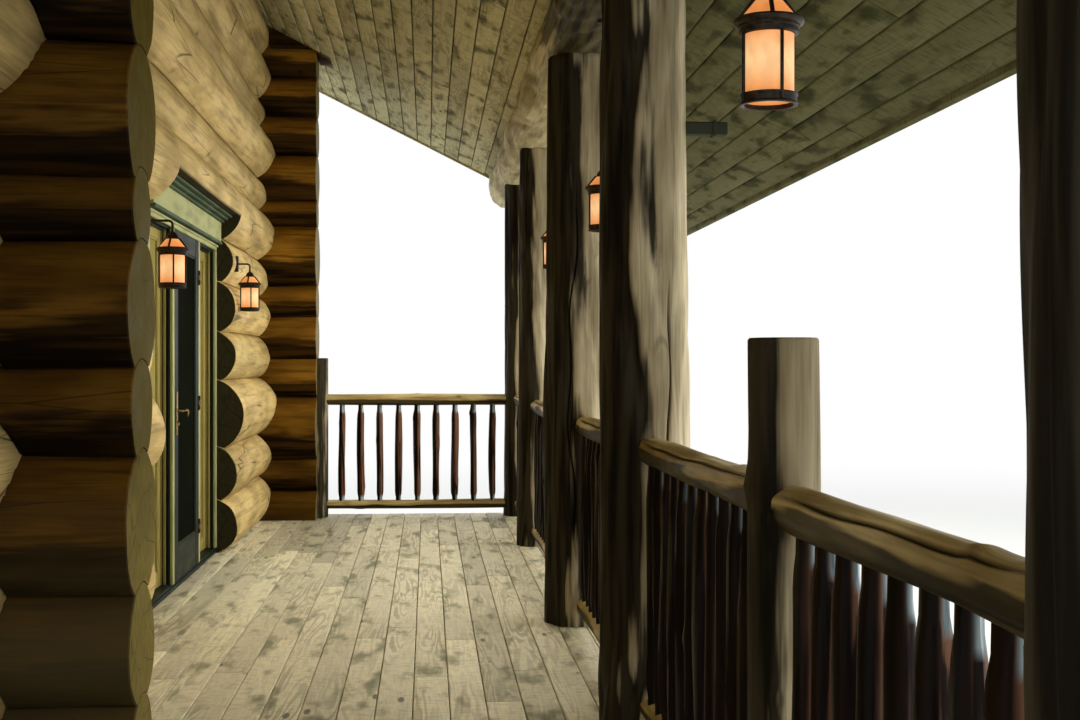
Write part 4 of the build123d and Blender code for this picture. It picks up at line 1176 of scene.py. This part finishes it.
ceiling = Pile()
ceiling_lines = [ceiling_line - ceiling_pitch * step for step in range(30)]
ceiling_lines = sorted([-roof_half_width, outer]
                       + [line for line in ceiling_lines if line > -roof_half_width + 0.03])
for left, right in zip(ceiling_lines, ceiling_lines[1:]):
    for start, stop in cut_lengths(roof_chance, -roof_half_length, far_edge, 1.8, 4.2, 0.8 - fascia):
        board(ceiling, (left + ceiling_gap / 2, start + 0.0015, roof_chance.uniform(0, 0.002)),
              (right - ceiling_gap / 2, stop - 0.0015, ceiling_rise), 1, ease=0.004, bend=on_slope,
              **stock(roof_chance))
ceiling_finish = sawn("ceiling_board_wood", (0.50, 0.45, 0.25), (0.26, 0.23, 0.11), (0.070, 0.072, 0.030),
                      saw_marks=0.40, wear=0.90, roughness=0.85, damp=(0.076, 0.088, 0.030))
ceiling.done("ceiling_planks", "ceiling_wood", ceiling_finish, "ceiling_boards")

rafters = Pile()
for rim in (-roof_half_width, outer - rafter_width):
    board(rafters, (rim, -roof_half_length, ceiling_rise), (rim + rafter_width, far_edge, rafter_top), 1,
          bend=on_slope, offset=7)
for place in spaced(-roof_half_length, 2 * roof_half_length - fascia, rafter_width, rafter_pitch):
    board(rafters, (-roof_half_width + rafter_width, place, ceiling_rise),
          (outer - rafter_width, place + rafter_width, rafter_top), 0, bend=on_slope, **stock(roof_chance))
rafters.done("roof_rafters", "frame_wood", frame_finish, "rafters")

cover = Pile()
for step in range(sheath_boards):
    left = -roof_half_width + step * sheath_pitch
    board(cover, (left + 0.0005, -roof_half_length, rafter_top),
          (left + sheath_pitch - 0.0005, roof_half_length, sheath_top), 1, ease=0.002, bend=on_slope,
          **stock(roof_chance))
cover.done("roof_sheathing", "roof_shingle", frame_finish, "roof_cover")
shingles = Pile()
for course in range(int(2 * roof_half_width / exposure) + 1):
    butt = roof_half_width - course * exposure
    upper = max(butt - exposure - 0.03, -roof_half_width)
    if butt - upper < 0.02:
        continue
    for start, stop in cut_lengths(roof_chance, -roof_half_length, roof_half_length, 0.09, 0.24, 0.08):
        ragged = roof_chance.uniform(0, 0.008) if course else 0.0
        butt_top = cover_top - roof_chance.uniform(0, 0.003)
        points = np.array([(x, y, z) for x, top in ((upper, cover_top - 0.010), (butt - ragged, butt_top))
                           for y in (start + 0.002, stop - 0.002) for z in (sheath_top, top)])
        grain = np.column_stack([points[:, 1], points[:, 2], points[:, 0] + roof_chance.uniform(0, 60)])
        shingles.add(on_slope(points), box_faces, grain, roof_chance.uniform(-1, 1))
shingle_finish = sawn("shingle_wood", (0.30, 0.27, 0.22), (0.20, 0.175, 0.14), (0.10, 0.09, 0.07),
                      saw_marks=0.1, wear=0.6, roughness=0.9)
shingles.done("split_shingles", "roof_shingle", shingle_finish, sharp=20)
for name, low, high, run in (
        ("eave", (outer, -roof_half_length), (roof_half_width, far_edge), 1),
        ("gable", (-roof_half_width, far_edge), (roof_half_width, roof_half_length), 0)):
    edge_board = Pile()
    board(edge_board, (*low, -0.02), (*high, rafter_top), run, bend=on_slope, ease=0.002)
    edge_board.done(f"{name}_fascia", "ceiling_wood", ceiling_finish, f"{name}_board")


# Lanterns: bronze cages round amber glass. Each has an open foot band, thin bars, a stepped rim, a pitched
# cap with ribs over amber panels, and a dome. Three hang from the plate log and two on wall arms.
pendant_places = [-4.21, -1.19, 1.28]
pendant_axis = deck_level + 1.969
wall_lantern_places = [-0.40, 2.58]
wall_lantern_axis = deck_level + 1.750
lantern_body = 0.162
rim_height = 0.036
dome_height = 0.082
arm_drop = 0.05
bracket_log = 0.178
arm_x = wall_line + bracket_log + 0.092
foot_band = [(0.056, 0.002), (0.060, 0.0), (0.066, 0.001), (0.0665, 0.004), (0.064, 0.007),
             (0.064, 0.019), (0.0665, 0.022), (0.0665, 0.026), (0.062, 0.027), (0.0585, 0.026),
             (0.0585, 0.004), (0.056, 0.002)]
rim = [(0.0, -0.001), (0.064, -0.001), (0.068, 0.002), (0.068, 0.012), (0.071, 0.015), (0.071, 0.020),
       (0.078, 0.023), (0.0805, 0.027), (0.0805, 0.032), (0.077, 0.036), (0.068, 0.038), (0.060, 0.037),
       (0.0, 0.037)]
dome = [(0.0, 0.038), (0.030, 0.040), (0.033, 0.043), (0.029, 0.048), (0.027, 0.056), (0.020, 0.068),
        (0.011, 0.076), (0.006, dome_height), (0.0, dome_height)]
body_panes = [(0.0, 0.012), (0.057, 0.012), (0.0577, 0.02), (0.0577, lantern_body), (0.0, lantern_body)]
cap_panes = [(0.0, 0.0), (0.0645, 0.001), (0.031, 0.042), (0.0, 0.043)]


def lantern(cage, panes, x, y, axis):
    """One lantern, from the open foot up to the dome."""
    foot = axis - lantern_body / 2
    top = foot + lantern_body
    cap = top + rim_height
    turned(cage, (x, y, foot), foot_band, 40)
    turned(cage, (x, y, top), rim, 40)
    turned(cage, (x, y, cap), dome, 28)
    for quarter in range(4):
        for degrees, ends, radius in ((-6, ((0.067, cap), (0.033, cap + 0.044)), 0.0052),
                                      (14, ((0.0635, foot + 0.01), (0.0635, top + 0.004)), 0.0042)):
            turn = math.radians(90 * quarter + degrees)
            path = [(x + away * math.cos(turn), y + away * math.sin(turn), z) for away, z in ends]
            rod(cage, path, radius, 10)
    turned(panes, (x, y, foot), body_panes, 40)
    turned(panes, (x, y, cap), cap_panes, 36)
    return cap + dome_height


pendants = Pile()
panes = Pile()
for place in pendant_places:
    top = lantern(pendants, panes, rail_line, place, pendant_axis)
    rod(pendants, [(rail_line, place, top - 0.006), (rail_line, place, plate_axis - 0.15)], 0.006)
    turned(pendants, (rail_line, place, plate_axis - plate_round / 2 - 0.012),
           [(0.0, 0.0), (0.022, 0.0), (0.026, 0.004), (0.026, 0.03), (0.0, 0.03)], 24)
arms = Pile()
for place in wall_lantern_places:
    top = lantern(arms, panes, arm_x, place, wall_lantern_axis)
    level = top + arm_drop
    log_face = bracket_log + (near_wall_line if place < unit_start else wall_line)
    rod(arms, [(arm_x, place, top - 0.006), (arm_x, place, level - 0.016),
               (arm_x - 0.005, place, level - 0.005), (arm_x - 0.016, place, level),
               (log_face + 0.004, place, level)], 0.006)
    board(arms, (log_face - 0.048, place - 0.02, level - 0.055),
          (log_face + 0.014, place + 0.02, level + 0.055), 2, ease=0.004)
bronze_finish = worn_metal("dark_bronze", (0.020, 0.015, 0.011), (0.060, 0.042, 0.028), 0.35, 0.6,
                           scale=70, relief=True, metallic=0.7)
amber = Finish("amber_glass")
grain = amber.mark("grain", 1)
seeds = amber.noise(grain, (40, 40, 26), 3)
height = amber.part_of(grain, 2)
bright = height.ramp(0.015, 0.10) * height.ramp(0.10, 0.19, 1, 0)
glow = amber.mix(bright, (0.80, 0.27, 0.07), (1.0, 0.62, 0.30))
glow = amber.lit(glow, seeds.ramp(0.3, 0.7, 0.85, 1.08))
amber_finish = amber.coat((0.50, 0.22, 0.07), 0.3, Emission_Color=glow, Emission_Strength=0.85)
pendants.done("hanging_lanterns", "dark_bronze", bronze_finish, "pendant_lanterns")
arms.done("wall_arm_lanterns", "dark_bronze", bronze_finish, "wall_lanterns")
panes.done("amber_panes", "amber_glass", amber_finish, "lantern_glass")
